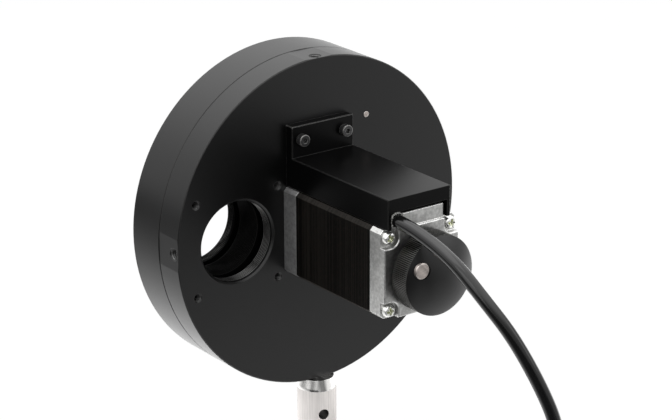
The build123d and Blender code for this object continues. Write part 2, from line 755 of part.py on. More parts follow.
# Cable cover: a channel over the motor with a flange on the housing's rear face
cover_height = cover_top - cover_bottom
with BuildPart() as cable_cover:
    with BuildSketch(at(rear_face)):
        with Locations((cover_offset, cover_bottom + cover_height / 2)):
            Rectangle(cover_width, cover_height)
        with Locations((cover_offset, (cover_bottom + cover_top - cover_top_wall - merge) / 2)):
            Rectangle(cover_width - 2 * cover_side_wall, cover_height - cover_top_wall + merge,
                      mode=Mode.SUBTRACT)
    extrude(amount=cover_length)
    with BuildSketch(at(rear_face)):
        with Locations((cover_offset, (cover_top - cover_top_wall + flange_top) / 2)):
            Rectangle(cover_width, flange_top - cover_top + cover_top_wall)
        with Locations((cover_offset, cover_screw_height)):
            with GridLocations(cover_screw_pitch, 0.0, 2, 1):
                Circle(small_screw[0] + through_fit, mode=Mode.SUBTRACT)
    extrude(amount=flange_thickness)
    sharp_edges = [e for e in cable_cover.edges().filter_by(GeomType.LINE)
                   if e.center().Y < rear_face - near
                   and (e.center().Z > axis_height + flange_top - near
                        or abs(e.center().X - cover_offset) > cover_width / 2 - near)]
    chamfer(sharp_edges, cover_edge)
finish(cable_cover.part, "cable_cover")

with BuildPart() as cover_screws:
    for side in (-0.5, 0.5):
        seat = at(rear_face - flange_thickness, cover_offset + side * cover_screw_pitch, cover_screw_height)
        add(socket_screw(seat, small_screw, flange_thickness + rear_wall - tapped_floor - tip_gap))
finish(cover_screws.part, "cover_screws")

# Index sensor inside the housing, found by a pin through the rear wall
with BuildPart() as locating_pin:
    with BuildSketch(at(rear_face - pin_proud, pin_x, pin_z)):
        Circle(pin_radius)
    extrude(amount=-(pin_proud + rear_wall + board_thickness))
finish(locating_pin.part, "locating_pin")

with BuildPart() as sensor_board:
    with BuildSketch(at(cavity_back)):
        with Locations((board_centre_x, board_centre_z)):
            RectangleRounded(board_width, board_height, board_corner)
        with Locations((pin_x, pin_z)):
            Circle(pin_radius + fit, mode=Mode.SUBTRACT)
        with Locations(*board_screw_places):
            Circle(board_screw[0] + through_fit, mode=Mode.SUBTRACT)
    extrude(amount=-board_thickness)
finish(sensor_board.part, "sensor_board")

with BuildPart(at(board_face)) as hall_sensor:
    with Locations((0, magnet_offset, 0)):
        Box(*sensor_size, align=(Align.CENTER, Align.CENTER, Align.MAX))
        chamfer(hall_sensor.faces().sort_by(Axis.Y)[-1].edges(), sensor_edge)
finish(hall_sensor.part, "hall_sensor")

with BuildPart() as board_screws:
    for x, z in board_screw_places:
        seat = Plane(origin=(x, board_face, axis_height + z), x_dir=(1, 0, 0), z_dir=(0, 1, 0))
        add(socket_screw(seat, board_screw, board_thickness + rear_wall - tapped_floor - tip_gap))
finish(board_screws.part, "board_screws")

# Wires inside: three from the sensor board through the wall, four from the motor, to the cable
wire_lane = 2 * (wire_radius + fit)
board_foot = board_centre_z - board_height / 2
with BuildPart() as sensor_wires:
    for lane in (-1, 0, 1):
        shift = lane * wire_pitch
        level = axis_height + wire_height + wire_lane / 2
        front = board_face + wire_radius
        route = [(shift, front, axis_height + board_foot + wire_solder_length), (shift, front, level),
                 (shift, rear_face - wire_rise, level), (cable_x + shift, cable_start + wire_rise, level),
                 (cable_x + shift, cable_start, level)]
        with BuildLine() as path:
            FilletPolyline(*route, radius=(wire_tight_bend, wire_bend, wire_bend))
        with BuildSketch(Plane(origin=route[0], z_dir=(0, 0, -1))):
            Circle(wire_radius)
        sweep(path=path.line)
finish(sensor_wires.part, "sensor_wires")

with BuildPart() as motor_leads:
    for lead in range(lead_count):
        entry = cable_x + ((lead_count - 1) / 2 - lead) * wire_pitch
        exit_x = lead_start_x + lead * wire_pitch
        level = axis_height + wire_height - wire_lane / 2
        turn_y = stack_back + lead_turn + lead * wire_pitch
        route = [(exit_x, stack_back, level), (exit_x, turn_y, level),
                 (entry, turn_y, level), (entry, cable_start, level)]
        with BuildLine() as path:
            FilletPolyline(*route, radius=lead_bend)
        with BuildSketch(Plane(origin=route[0], z_dir=(0, 1, 0))):
            Circle(wire_radius)
        sweep(path=path.line)
finish(motor_leads.part, "motor_leads")

# Post under the housing and the stud that joins them
post_top = Plane(origin=(0, 0, post_length), x_dir=(1, 0, 0), z_dir=(0, 0, 1))
with BuildPart() as mounting_post:
    with BuildSketch(Plane.XZ):
        with BuildLine():
            Polyline((0, 0), (post_radius - foot_edge, 0), (post_radius, foot_edge),
                     (post_radius, post_length - post_bevel), (post_top_radius, post_length),
                     (0, post_length), close=True)
        make_face()
    revolve(axis=Axis.Z)
    with BuildSketch(Plane.XY):
        Circle(foot_thread_radius)
    extrude(amount=foot_thread_depth, mode=Mode.SUBTRACT)
    with BuildSketch(post_top):
        Circle(side_tap_radius)
    extrude(amount=-stud_hole_depth, mode=Mode.SUBTRACT)
    cross_hole = Plane(origin=(0, 0, post_length - post_cross_hole_drop),
                       x_dir=(0, 0, 1), z_dir=Vector(0, 1, 0).rotate(Axis.Z, -post_cross_hole_angle))
    with BuildSketch(cross_hole):
        Circle(post_cross_hole_radius)
    extrude(amount=2 * post_radius, both=True, mode=Mode.SUBTRACT)
finish(mounting_post.part, "mounting_post")

with BuildPart() as post_stud:
    with BuildSketch(post_top.offset(side_tap_depth - stud_end_gap)):
        Circle(side_tap_radius - fit)
    extrude(amount=-(stud_hole_depth + side_tap_depth - 2 * stud_end_gap))
finish(post_stud.part, "post_stud")

# Cable: straight runs joined by tangent arcs, each as large as its two runs allow
route_points = [Vector(*point) for point in cable_route]
corner_radii = []
for before, corner, after in zip(route_points, route_points[1:], route_points[2:]):
    half_turn = math.radians((corner - before).get_angle(after - corner) / 2)
    shorter_run = min((corner - before).length, (after - corner).length)
    corner_radii.append(0.45 * shorter_run / math.tan(half_turn))
with BuildPart() as cable:
    with BuildLine() as cable_line:
        FilletPolyline(*cable_route, radius=corner_radii)
    with BuildSketch(Plane(origin=route_points[0], z_dir=route_points[1] - route_points[0])):
        Circle(cable_radius)
    sweep(path=cable_line.line)
cable_length = sum(edge.length for edge in cable_line.edges())
print("cable corner radii", [round(radius, 1) for radius in corner_radii])
print("cable length", round(cable_length, 1), "volume over section times length",
      round(cable.part.volume / (math.pi * cable_radius ** 2 * cable_length), 4))
finish(cable.part, "cable")

# Fifteen-pin plug at the cable's end, lying flat
plug_heading = (route_points[-1] - route_points[-2]).normalized()
plug_heading = Vector(plug_heading.X, plug_heading.Y, 0).normalized()
plug_place = Plane(origin=route_points[-1], x_dir=(plug_heading.Y, -plug_heading.X, 0), z_dir=plug_heading)
mating_face = plug_place.offset(neck_length + hood_length)
with BuildPart() as plug_hood:
    with BuildSketch(plug_place):
        Circle(neck_radius - neck_taper)
    with BuildSketch(plug_place.offset(neck_length)):
        Circle(neck_radius)
    loft()
    with BuildSketch(plug_place.offset(neck_length)):
        RectangleRounded(shoulder_width, shoulder_height, hood_corner)
    with BuildSketch(plug_place.offset(neck_length + hood_shoulder)):
        RectangleRounded(hood_width, hood_height, hood_corner)
    loft()
    with BuildSketch(plug_place.offset(neck_length + hood_shoulder)):
        RectangleRounded(hood_width, hood_height, hood_corner)
    extrude(amount=hood_length - hood_shoulder)
    with BuildSketch(mating_face):
        with GridLocations(thumb_screw_pitch, 0.0, 2, 1):
            Circle(thumb_screw_radius + head_fit)
    extrude(amount=-hood_length, mode=Mode.SUBTRACT)
finish(plug_hood.part, "plug_hood")


def plug_outline(inset):
    """D-shaped outline of the plug's shell, drawn in by inset on every side."""
    with BuildSketch(Plane.XY) as outline:
        Trapezoid(shell_size[0] - 2 * inset, shell_size[1] - 2 * inset, shell_angle)
        fillet(outline.vertices(), shell_corner - inset)
    return outline.sketch


def contact_circles(radius):
    """Circles of the plug's contacts: three rows, each shifted by half a pitch from the next."""
    with BuildSketch(Plane.XY) as circles:
        for row in (-1, 0, 1):
            with Locations((row * pin_pitch / 4, row * row_pitch)):
                with GridLocations(pin_pitch, 0.0, pins_per_row, 1):
                    Circle(radius)
    return circles.sketch


with BuildPart() as plug_shell:
    with BuildSketch(mating_face):
        RectangleRounded(flange_plate[0], flange_plate[1], flange_corner)
        with GridLocations(thumb_screw_pitch, 0.0, 2, 1):
            Circle(thumb_screw_radius + head_fit, mode=Mode.SUBTRACT)
    extrude(amount=flange_plate[2])
    with BuildSketch(mating_face):
        add(plug_outline(0))
    extrude(amount=flange_plate[2] + shell_size[2])
    with BuildSketch(mating_face):
        add(plug_outline(shell_wall))
    extrude(amount=flange_plate[2] + shell_size[2], mode=Mode.SUBTRACT)
finish(plug_shell.part, "plug_shell")

insert_depth = flange_plate[2] + insert_rise
with BuildPart() as plug_insert:
    with BuildSketch(mating_face):
        add(plug_outline(shell_wall + seat_gap))
        add(contact_circles(contact_radius + seat_gap), mode=Mode.SUBTRACT)
    extrude(amount=insert_depth)
finish(plug_insert.part, "plug_insert")

with BuildPart() as plug_pins:
    with BuildSketch(mating_face):
        add(contact_circles(contact_radius))
    extrude(amount=insert_depth + contact_rise)
finish(plug_pins.part, "plug_pins")

thumb_tip = mating_face.offset(flange_plate[2] + shell_size[2] - thumb_screw_recess)
with BuildPart() as thumb_screws:
    with BuildSketch(thumb_tip):
        with GridLocations(thumb_screw_pitch, 0.0, 2, 1):
            Circle(thumb_screw_radius)
    extrude(amount=-(hood_length + flange_plate[2] + shell_size[2] - thumb_screw_recess))
    with BuildSketch(plug_place.offset(neck_length + hood_shoulder - thumb_head_gap)):
        with GridLocations(thumb_screw_pitch, 0.0, 2, 1):
            Circle(thumb_head_radius)
    extrude(amount=-thumb_head_length)
finish(thumb_screws.part, "thumb_screws")
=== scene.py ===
"""Looks of a motorized filter wheel: finishes, fine threads, knurl, cable and studio round its frame."""
import json
import math

import bmesh
import bpy
import numpy as np
from bpy.props import FloatProperty, FloatVectorProperty, IntProperty, PointerProperty
from mathutils import Matrix, Vector


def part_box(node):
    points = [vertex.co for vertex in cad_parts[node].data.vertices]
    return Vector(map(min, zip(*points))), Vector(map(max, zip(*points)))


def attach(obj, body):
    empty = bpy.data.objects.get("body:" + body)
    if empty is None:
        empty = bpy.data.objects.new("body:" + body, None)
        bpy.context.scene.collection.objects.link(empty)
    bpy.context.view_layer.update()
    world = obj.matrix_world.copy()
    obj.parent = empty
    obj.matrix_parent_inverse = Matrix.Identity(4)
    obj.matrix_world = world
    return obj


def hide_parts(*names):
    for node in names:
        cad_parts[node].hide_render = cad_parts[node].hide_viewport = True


bl_info = {
    "name": "Motorized Filter Wheel",
    "version": (1, 0, 0),
    "blender": (4, 5, 0),
    "location": "3D View > Sidebar > Filter Wheel",
    "description": "Finishes a filter wheel with its stepper motor, hand knob, cable and post",
    "category": "Add Mesh",
}

MM = 0.001

# Sizes that the frame doesn't give, as the part's source has them
SIDE_FLAT_REACH = 52.9 * MM
APERTURE_BEVEL = 0.55 * MM
STATIONS = 6
STATION_SEAT = 1.9 * MM
CAGE_HOLE_BEVEL = 0.3 * MM
CAGE_THREAD_LENGTH = 3.2 * MM
KNOB_BORE = 2.52 * MM
STACK_CORNER_CUT = 1.15 * MM
POST_BEVEL = 3.5 * MM

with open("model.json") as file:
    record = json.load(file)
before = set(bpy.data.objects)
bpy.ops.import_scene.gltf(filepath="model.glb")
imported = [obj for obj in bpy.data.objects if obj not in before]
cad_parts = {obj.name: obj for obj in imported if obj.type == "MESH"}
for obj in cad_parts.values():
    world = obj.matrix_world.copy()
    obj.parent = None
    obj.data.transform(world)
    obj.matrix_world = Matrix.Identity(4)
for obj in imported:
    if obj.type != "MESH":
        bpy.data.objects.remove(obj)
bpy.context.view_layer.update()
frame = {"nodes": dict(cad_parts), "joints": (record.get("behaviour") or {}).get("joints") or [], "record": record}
nodes = frame["nodes"]
mounts = {mount["name"]: mount for mount in frame["record"]["mounts"]}
slots = {part["node"]: part["material_slot"] for part in frame["record"]["subparts"]}
wheel_axis = Vector(frame["joints"][0]["pos_m"])

# The cable's route: from its end in the motor's lug, over the knob, down to the table and to its plug
CABLE_ROUTE_MM = [
    (-9.5, -45.5, 121.1), (-9.5, -57.5, 121.1), (-7.9, -69.0, 117.7), (-7.5, -79.6, 113.9),
    (-5.1, -88.6, 105.9), (-0.4, -95.5, 96.2), (5.6, -101.0, 81.6), (9.8, -104.5, 68.6),
    (11.4, -106.6, 52.4), (11.6, -109.6, 37.0), (11.4, -116.0, 22.6), (10.6, -126.4, 11.0),
    (8.0, -139.0, 3.9), (1.0, -152.0, 2.1), (-12.5, -161.4, 2.2), (-29.5, -164.6, 2.1),
    (-46.5, -159.4, 2.1), (-58.8, -146.6, 2.2), (-62.8, -129.6, 2.1), (-57.8, -112.8, 2.1),
    (-45.0, -100.8, 2.1), (-28.4, -95.4, 2.1), (-11.0, -93.4, 2.2), (6.0, -89.0, 2.1),
    (21.0, -79.6, 2.7), (32.0, -66.6, 5.2), (37.6, -53.4, 8.0), (38.0, -43.0, 8.0),
]


def length(name, description, millimetres):
    """A length property whose default is given in millimetres."""
    return FloatProperty(name=name, description=description, default=millimetres * MM,
                         min=0.0, unit="LENGTH", precision=5)


def colour(name, description, red, green, blue):
    """A colour property with its default in linear light."""
    return FloatVectorProperty(name=name, description=description, default=(red, green, blue),
                               min=0.0, max=1.0, size=3, subtype="COLOR")


class FilterWheelSizes(bpy.types.PropertyGroup):
    """Sizes of the detail that is added to the frame."""

    knurl_grooves: IntProperty(name="Knurl grooves", description="Straight grooves round the knob's band",
                               default=132, min=12, max=400)
    knurl_depth: length("Knurl depth", "Depth of each groove", 0.3)
    knob_band: length("Knob band", "Length of the knob's knurled band", 7.0)
    knob_edge: length("Knob edge", "Bevel at both ends of the knob's band", 0.35)
    pin_moat: length("Pin moat", "Width of the dark gap round the knob's pin", 0.12)
    thread_pitch: length("Fine pitch", "Pitch of the apertures' fine thread", 0.635)
    thread_depth: length("Fine depth", "Depth of the apertures' fine thread", 0.32)
    tap_pitch: length("Tap pitch", "Pitch in the tapped holes", 0.6)
    tap_depth: length("Tap depth", "Depth of the thread in the tapped holes", 0.22)
    sheet_thickness: length("Sheet thickness", "Thickness of one motor lamination", 0.5)
    sheet_relief: length("Sheet relief", "How far each lamination's edge stands out of its joints", 0.05)
    cable_radius: length("Cable radius", "Radius of the cable's jacket", 2.1)
    bead_radius: length("Bead radius", "Thickness of the sealant bead at the cable's root", 0.4)
    screw_head: length("Screw head", "Radius of the motor screws' pan heads", 2.1)
    screw_rise: length("Screw rise", "Height of the motor screws' pan heads", 2.0)
    screw_shank: length("Screw shank", "Radius of the motor screws' shanks", 1.2)
    recess_arm: length("Recess arm", "Reach of the cross recess in a pan head", 1.35)
    recess_width: length("Recess width", "Width of each arm of the cross recess", 0.66)
    recess_depth: length("Recess depth", "Depth of the cross recess at its middle", 1.0)
    post_turn: FloatProperty(name="Post turn", description="Turn of the post about its own axis",
                             default=math.radians(-29.0), subtype="ANGLE")


class FilterWheelColours(bpy.types.PropertyGroup):
    """Colours of the finishes."""

    anodised: colour("Anodised", "Satin black anodised aluminium", 0.0018, 0.0018, 0.0019)
    knob: colour("Knob", "Satin black knob", 0.002, 0.002, 0.0021)
    rear_casting: colour("Rear casting", "Bright cast end cap", 0.50, 0.50, 0.49)
    front_casting: colour("Front casting", "Duller cast end cap", 0.40, 0.40, 0.40)
    sheets: colour("Sheets", "Edges of the laminations", 0.0022, 0.0019, 0.0016)
    zinc: colour("Zinc", "Zinc plating", 0.86, 0.86, 0.84)
    passivate: colour("Passivate", "Yellow-green tint left in the screws' recesses", 0.50, 0.54, 0.22)
    oxide: colour("Black oxide", "Blackened screws", 0.05, 0.05, 0.051)
    steel: colour("Steel", "Polished steel", 0.75, 0.72, 0.70)
    pin: colour("Pin", "Warm grey faced steel of the pins", 0.42, 0.375, 0.35)
    jacket: colour("Jacket", "Cable jacket", 0.004, 0.004, 0.0042)
    solder_mask: colour("Solder mask", "Sensor board", 0.015, 0.09, 0.03)
    copper: colour("Copper", "Winding wire", 0.55, 0.20, 0.08)


class FilterWheelStudio(bpy.types.PropertyGroup):
    """Camera and light."""

    azimuth: FloatProperty(name="Azimuth", default=math.radians(-36.590), subtype="ANGLE",
                           description="Camera's turn about the vertical, 0 looking along +Y")
    elevation: FloatProperty(name="Elevation", description="Camera's height above the horizontal",
                             default=math.radians(19.738), subtype="ANGLE")
    roll: FloatProperty(name="Roll", description="Camera's turn about its own view",
                        default=math.radians(-0.151), subtype="ANGLE")
    distance: length("Distance", "From the camera to the housing's rear face", 766.03)
    rightward: length("Rightward", "Camera's shift to its right", 4.849)
    upward: length("Upward", "Camera's shift upwards", 3.401)
    lens: FloatProperty(name="Lens", description="Focal length in millimetres on a 36 mm wide frame",
                        default=130.82, min=1.0)
    ambient: FloatProperty(name="Ambient", description="Strength of the world on matt surfaces",
                           default=0.55, min=0.0)


class Signal:
    """One output of a shader node. Arithmetic on signals adds Math nodes and gives a new signal."""

    def __init__(self, wiring, socket):
        self.wiring = wiring
        self.socket = socket

    def maths(self, operation, *values):
        return self.wiring.node("ShaderNodeMath", {"operation": operation}, dict(enumerate(values)))

    def __add__(self, other):
        return self.maths("ADD", self, other)

    def __radd__(self, other):
        return self.maths("ADD", other, self)

    def __sub__(self, other):
        return self.maths("SUBTRACT", self, other)

    def __rsub__(self, other):
        return self.maths("SUBTRACT", other, self)

    def __mul__(self, other):
        return self.maths("MULTIPLY", self, other)

    def __rmul__(self, other):
        return self.maths("MULTIPLY", other, self)

    def __truediv__(self, other):
        return self.maths("DIVIDE", self, other)

    def __rtruediv__(self, other):
        return self.maths("DIVIDE", other, self)

    def __pow__(self, other):
        return self.maths("POWER", self, other)

    def __abs__(self):
        return self.maths("ABSOLUTE", self)

    def floor(self):
        return self.maths("FLOOR", self)

    def larger(self, other):
        return self.maths("MAXIMUM", self, other)

    def limited(self):
        return self.maths("MINIMUM", self.maths("MAXIMUM", self, 0.0), 1.0)

    def between(self, low, high):
        """0 up to low, 1 from high on, smooth in between; high may be the smaller."""
        start, end, first, last = (low, high, 0.0, 1.0) if low < high else (high, low, 1.0, 0.0)
        return self.wiring.node("ShaderNodeMapRange", {"interpolation_type": "SMOOTHSTEP"},
                                {0: self, 1: start, 2: end, 3: first, 4: last})


class Wiring:
    """The node tree of one material or of the world."""

    def __init__(self, tree):
        self.nodes = tree.nodes
        self.links = tree.links

    def node(self, kind, settings=None, inputs=None, output=0):
        """Add a node: first its settings, then the values or links of its sockets. Gives one output."""
        added = self.nodes.new(kind)
        for name, value in (settings or {}).items():
            setattr(added, name, value)
        for key, value in (inputs or {}).items():
            self.feed(added.inputs[key], value)
        return Signal(self, added.outputs[output])

    def feed(self, socket, value):
        if isinstance(value, Signal):
            self.links.new(value.socket, socket)
        elif socket.type == "RGBA":
            socket.default_value = (*value[:3], 1.0)
        else:
            socket.default_value = value

    def mix(self, factor, first, second):
        """Colour between first and second."""
        return self.node("ShaderNodeMix", {"data_type": "RGBA"},
                         {0: factor, 6: first, 7: second}, output=2)


class Finish(Wiring):
    """A material under construction: one Principled shader with its constants set on its own sockets."""

    def __init__(self, name, constants):
        self.material = bpy.data.materials.new(name + "_finish")
        self.material.use_nodes = True
        super().__init__(self.material.node_tree)
        self.shader = self.nodes["Principled BSDF"]
        for socket, value in constants.items():
            self.feed(self.shader.inputs[socket], value)
        self.place = self.node("ShaderNodeTexCoord", output="Object")

    def axis(self, letter):
        """One coordinate of the place on the piece, in metres."""
        return self.node("ShaderNodeSeparateXYZ", None, {0: self.place}, output=letter)

    def noise(self, grain, detail=2.0, stretch=(1.0, 1.0, 1.0)):
        """Cloudy noise from 0 to 1 whose grain is about that long in metres, stretched along the axes."""
        grains = self.node("ShaderNodeVectorMath", {"operation": "MULTIPLY"},
                           {0: self.place, 1: tuple(1.0 / (grain * s) for s in stretch)})
        return self.node("ShaderNodeTexNoise", None, {"Vector": grains, "Scale": 1.0, "Detail": detail})

    def edges(self, radius, gain=9.0):
        """Normal rounded within radius of an edge, and a mask from 0 on open faces to 1 on the edge."""
        rounded = self.node("ShaderNodeBevel", {"samples": 6}, {"Radius": radius})
        flat = self.node("ShaderNodeNewGeometry", output="Normal")
        likeness = self.node("ShaderNodeVectorMath", {"operation": "DOT_PRODUCT"},
                             {0: rounded, 1: flat}, output="Value")
        return rounded, ((1.0 - likeness) * gain).limited()

    def bump(self, height, distance, normal=None):
        """Normal of a surface raised by height times distance, on top of another normal if one is given."""
        inputs = {"Height": height, "Distance": distance, "Strength": 1.0}
        if normal is not None:
            inputs["Normal"] = normal
        return self.node("ShaderNodeBump", None, inputs)

    def done(self, **links):
        """Link what varies over the surface and give the material."""
        for socket, value in links.items():
            self.feed(self.shader.inputs[socket.replace("_", " ").title()], value)
        return self.material


def scaled(shade, factor):
    """The shade times a factor, at most white."""
    return tuple(min(1.0, c * factor) for c in shade)


def reach(across, up):
    """Distance from an axis, from the two coordinates across it."""
    return (across * across + up * up) ** 0.5


def anodised(f, colours, gloss, edge_highlight, highlight_share=1.0):
    """Anodised aluminium: fine etched grain, slight haze, and a painted highlight along each edge."""
    rounded, edge = f.edges(0.22 * MM)
    haze = f.noise(30 * MM, 3)
    grain = f.noise(0.28 * MM, 2)
    # Painted highlight: along each edge the colour goes over to a lighter shade
    return f.done(base_color=f.mix(edge * highlight_share, colours.anodised, edge_highlight),
                  roughness=gloss + haze * 0.07 + grain * 0.05,
                  normal=f.bump(grain, 0.004 * MM, rounded))


def black_anodised(colours):
    """The housing's satin black."""
    f = Finish("black_anodised", {"Specular IOR Level": 0.35})
    return anodised(f, colours, 0.29, (0.05, 0.05, 0.048))


def cover_black(colours):
    """The cover's blacker anodising, with painted highlights along its edges, strongest along its flange's top and
    on its right side.
    """
    f = Finish("cover_black", {"Specular IOR Level": 0.1})
    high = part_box("cable_cover")[1]
    # Painted highlight: strongest near the cover's top, weaker on its right side
    flange_top_highlight = f.axis("Z").between(high.z - 0.8 * MM, high.z - 0.4 * MM)
    right_side_highlight = f.axis("X").between(high.x - 0.8 * MM, high.x - 0.4 * MM) * 0.6
    return anodised(f, colours, 0.24, (0.36, 0.36, 0.35), 0.18 + 0.7 * flange_top_highlight.larger(right_side_highlight))


def thread_black(colours):
    """The small threads, which glint more than the faces round them."""
    f = Finish("thread_black", {"Specular IOR Level": 0.9})
    return anodised(f, colours, 0.34, (0.12, 0.12, 0.118))


def aperture_black(colours):
    """The apertures' fine threads: crests of lighter grey metal above black roots."""
    f = Finish("aperture_black", {"Specular IOR Level": 0.06})
    sizes = bpy.context.scene.filter_wheel_sizes
    mount = mounts["rear_aperture"]
    radius = mount["dims"]["r_mm"] * MM
    from_axis = reach(f.axis("X") - mount["pos_m"][0], f.axis("Z") - mount["pos_m"][2])
    crest = from_axis.between(radius - 0.6 * sizes.thread_depth, radius - sizes.thread_depth)
    grain = f.noise(0.3 * MM, 2)
    return f.done(base_color=f.mix(crest, colours.anodised, (0.16, 0.159, 0.156)), metallic=crest,
                  roughness=0.34 + grain * 0.08)


def bore_black(colours):
    """The wheel's black: a darker, nearly unreflecting copy of the anodising, painted shade for the inside of the
    housing.
    """
    return anodised(Finish("bore_black", {"Specular IOR Level": 0.03}), colours, 0.5, (0.02, 0.02, 0.019))


def ring_black(colours):
    """The retaining rings, with a brighter painted highlight along their edges."""
    return anodised(Finish("ring_black", {"Specular IOR Level": 0.3}), colours, 0.3, (0.5, 0.5, 0.49))


def knob_black(colours):
    """Satin black of the hand knob, with a painted highlight on the crests of its knurled band."""
    f = Finish("knob_black", {"Specular IOR Level": 0.42})
    sizes = bpy.context.scene.filter_wheel_sizes
    low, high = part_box("knob")
    radius = (high.x - low.x) / 2
    from_axis = reach(f.axis("X"), f.axis("Z") - wheel_axis.z)
    crest = from_axis.between(radius - 0.25 * sizes.knurl_depth, radius - 0.03 * sizes.knurl_depth)
    band_end = high.y - sizes.knob_band
    band = f.axis("Y").between(band_end - 0.1 * MM, band_end + 0.1 * MM)
    grain = f.noise(0.22 * MM, 2)
    # Painted highlight: the knurl's crests on the band are lighter
    base = f.mix(crest * band, colours.knob, (0.1, 0.099, 0.095))
    return f.done(base_color=base, roughness=0.3 + grain * 0.08, metallic=band,
                  normal=f.bump(grain, 0.004 * MM))


def casting(name, shade, edge_highlight, gloss):
    """Cast aluminium: mottled blasted skin, with a painted highlight along its edges."""
    f = Finish(name, {"Metallic": 0.92})
    rounded, edge = f.edges(0.25 * MM)
    mottle = f.noise(0.9 * MM, 3)
    clouds = f.noise(4.0 * MM, 2)
    tone = (mottle * 0.65 + clouds * 0.35).between(0.32, 0.68)
    skin = f.mix(tone, scaled(shade, 0.78), scaled(shade, 1.2))
    pits = f.noise(0.8 * MM, 2).between(0.66, 0.76)
    # Painted highlight: along each edge the colour goes over to a lighter shade
    base = f.mix(edge, f.mix(pits * 0.45, skin, scaled(shade, 0.5)), edge_highlight)
    return f.done(base_color=base, roughness=gloss - edge * 0.15 + mottle * 0.06,
                  normal=f.bump(mottle, 0.012 * MM, rounded))


def cast_aluminium(colours):
    """The motor's rear cap, blasted bright."""
    return casting("cast_aluminium", colours.rear_casting, (0.97, 0.97, 0.96), 0.29)


def front_cap_casting(colours):
    """The motor's front cap, duller and rougher."""
    return casting("front_cap_casting", colours.front_casting, (0.5, 0.5, 0.5), 0.5)


def laminations(colours):
    """Edges of the motor's steel sheets: dark brown tones by sheet, red and green specks, lighter corners."""
    f = Finish("laminations", {"Specular IOR Level": 0.05})
    pitch = bpy.context.scene.filter_wheel_sizes.sheet_thickness
    low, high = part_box("stator_stack")
    corner = (abs(f.axis("X")) + abs(f.axis("Z") - wheel_axis.z)) / (high.x - low.x)
    sheet = (f.axis("Y") / pitch).floor()
    tone = f.node("ShaderNodeTexWhiteNoise", {"noise_dimensions": "1D"}, {"W": sheet})
    streak = f.noise(0.5 * MM, 3, (8.0, 0.35, 8.0))
    base = f.mix((tone * 0.5 + streak * 0.5).between(0.25, 0.75),
                 scaled(colours.sheets, 0.4), scaled(colours.sheets, 4.0))
    red = f.noise(0.45 * MM, 2, (1.0, 0.6, 3.0)).between(0.6, 0.72)
    green = f.noise(0.55 * MM, 3, (0.8, 0.6, 2.0)).between(0.62, 0.74)
    base = f.mix(red * 0.6, base, (0.022, 0.012, 0.009))
    base = f.mix(green * 0.6, base, (0.012, 0.018, 0.011))
    base = f.mix(corner.between(0.955, 0.965) * (0.5 + tone * 0.5), base, (0.05, 0.046, 0.042))
    return f.done(base_color=base, roughness=0.5 + streak * 0.12, normal=f.bump(streak, 0.02 * MM))


def zinc_steel(colours):
    """Bright zinc with a yellow-green passivate that stays in the motor screws' recesses."""
    f = Finish("zinc_steel", {"Metallic": 0.9})
    sizes = bpy.context.scene.filter_wheel_sizes
    low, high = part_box("motor_body_screws")
    corner = (high.x - low.x) / 2 - sizes.screw_head
    across, up = abs(f.axis("X")) - corner, abs(f.axis("Z") - wheel_axis.z) - corner
    near = reach(across, up).between(1.05 * sizes.recess_arm, 0.8 * sizes.recess_arm)
    hollow = near * f.axis("Y").between(low.y + 0.12 * MM, low.y + 0.3 * MM)
    dull = f.noise(0.5 * MM, 3)
    stain = f.noise(0.7 * MM, 2).between(0.4, 0.6)
    base = f.mix(dull.between(0.52, 0.66) * 0.5, colours.zinc, scaled(colours.zinc, 0.45))
    base = f.mix((near * 0.2 + hollow * 0.6) * (0.35 + stain * 0.65), base, colours.passivate)
    return f.done(base_color=base, roughness=0.16 + dull * 0.2, normal=f.bump(dull, 0.02 * MM))


def black_steel(colours):
    """Blackened screws with a painted highlight on their edges, strongest on the cover screws' rims outside their
    hexagons.
    """
    f = Finish("black_steel", {"Metallic": 0.6})
    rounded, edge = f.edges(0.3 * MM)
    low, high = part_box("cover_screws")
    head = (high.z - low.z) / 2
    across = abs(f.axis("X") - (low.x + high.x) / 2) - ((high.x - low.x) / 2 - head)
    up = f.axis("Z") - (low.z + high.z) / 2
    rim_highlight = reach(across, up).between(0.68 * head, 0.8 * head)
    dull = f.noise(0.35 * MM, 2)
    # Painted highlight on the screws' edges, strongest on the cover screws' rims
    base = f.mix(edge * (0.3 + 0.6 * rim_highlight), colours.oxide, (0.5, 0.49, 0.47))
    return f.done(base_color=base, roughness=0.28 + dull * 0.15,
                  normal=f.bump(dull, 0.004 * MM, rounded))


def steel(colours):
    """Turned steel, brushed along its length, with the post's bevel polished and streaked with painted dark
    reflections, painted shade inside its cross hole and a painted highlight on its top rim.
    """
    f = Finish("steel", {"Metallic": 1.0})
    rounded, edge = f.edges(0.08 * MM)
    brushed = f.noise(0.45 * MM, 3, (1.0, 1.0, 40.0))
    smear = f.noise(9.0 * MM, 3)
    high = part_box("mounting_post")[1]
    bevel = f.axis("Z").between(high.z - POST_BEVEL - 0.1 * MM, high.z - POST_BEVEL)
    # Painted reflections: dark streaks along the polished bevel
    reflection_bands = f.noise(2.7 * MM, 1, (1.0, 1.0, 60.0)).between(0.36, 0.58)
    from_axis = reach(f.axis("X"), f.axis("Y"))
    # Painted shade inside the cross hole, and a painted highlight on the post's top rim
    hollow = from_axis.between(high.x - 0.08 * MM, high.x - 0.4 * MM) * (1.0 - bevel)
    rim_highlight = edge * (1.0 - hollow) * f.axis("Z").between(high.z - 0.4 * MM, high.z - 0.2 * MM)
    base = f.mix((brushed * 0.7 + smear * 0.3).between(0.3, 0.7),
                 scaled(colours.steel, 0.84), scaled(colours.steel, 1.08))
    base = f.mix(bevel * (1.0 - reflection_bands) * 0.75, f.mix(bevel, base, (0.93, 0.92, 0.9)), (0.14, 0.14, 0.137))
    base = f.mix(rim_highlight, f.mix(hollow * 0.8, base, (0.02, 0.02, 0.02)), (0.97, 0.96, 0.94))
    return f.done(base_color=base,
                  roughness=(0.48 + brushed * 0.08 + smear * 0.05) * (1.0 - 0.7 * bevel),
                  normal=f.bump(brushed, 0.002 * MM, rounded))


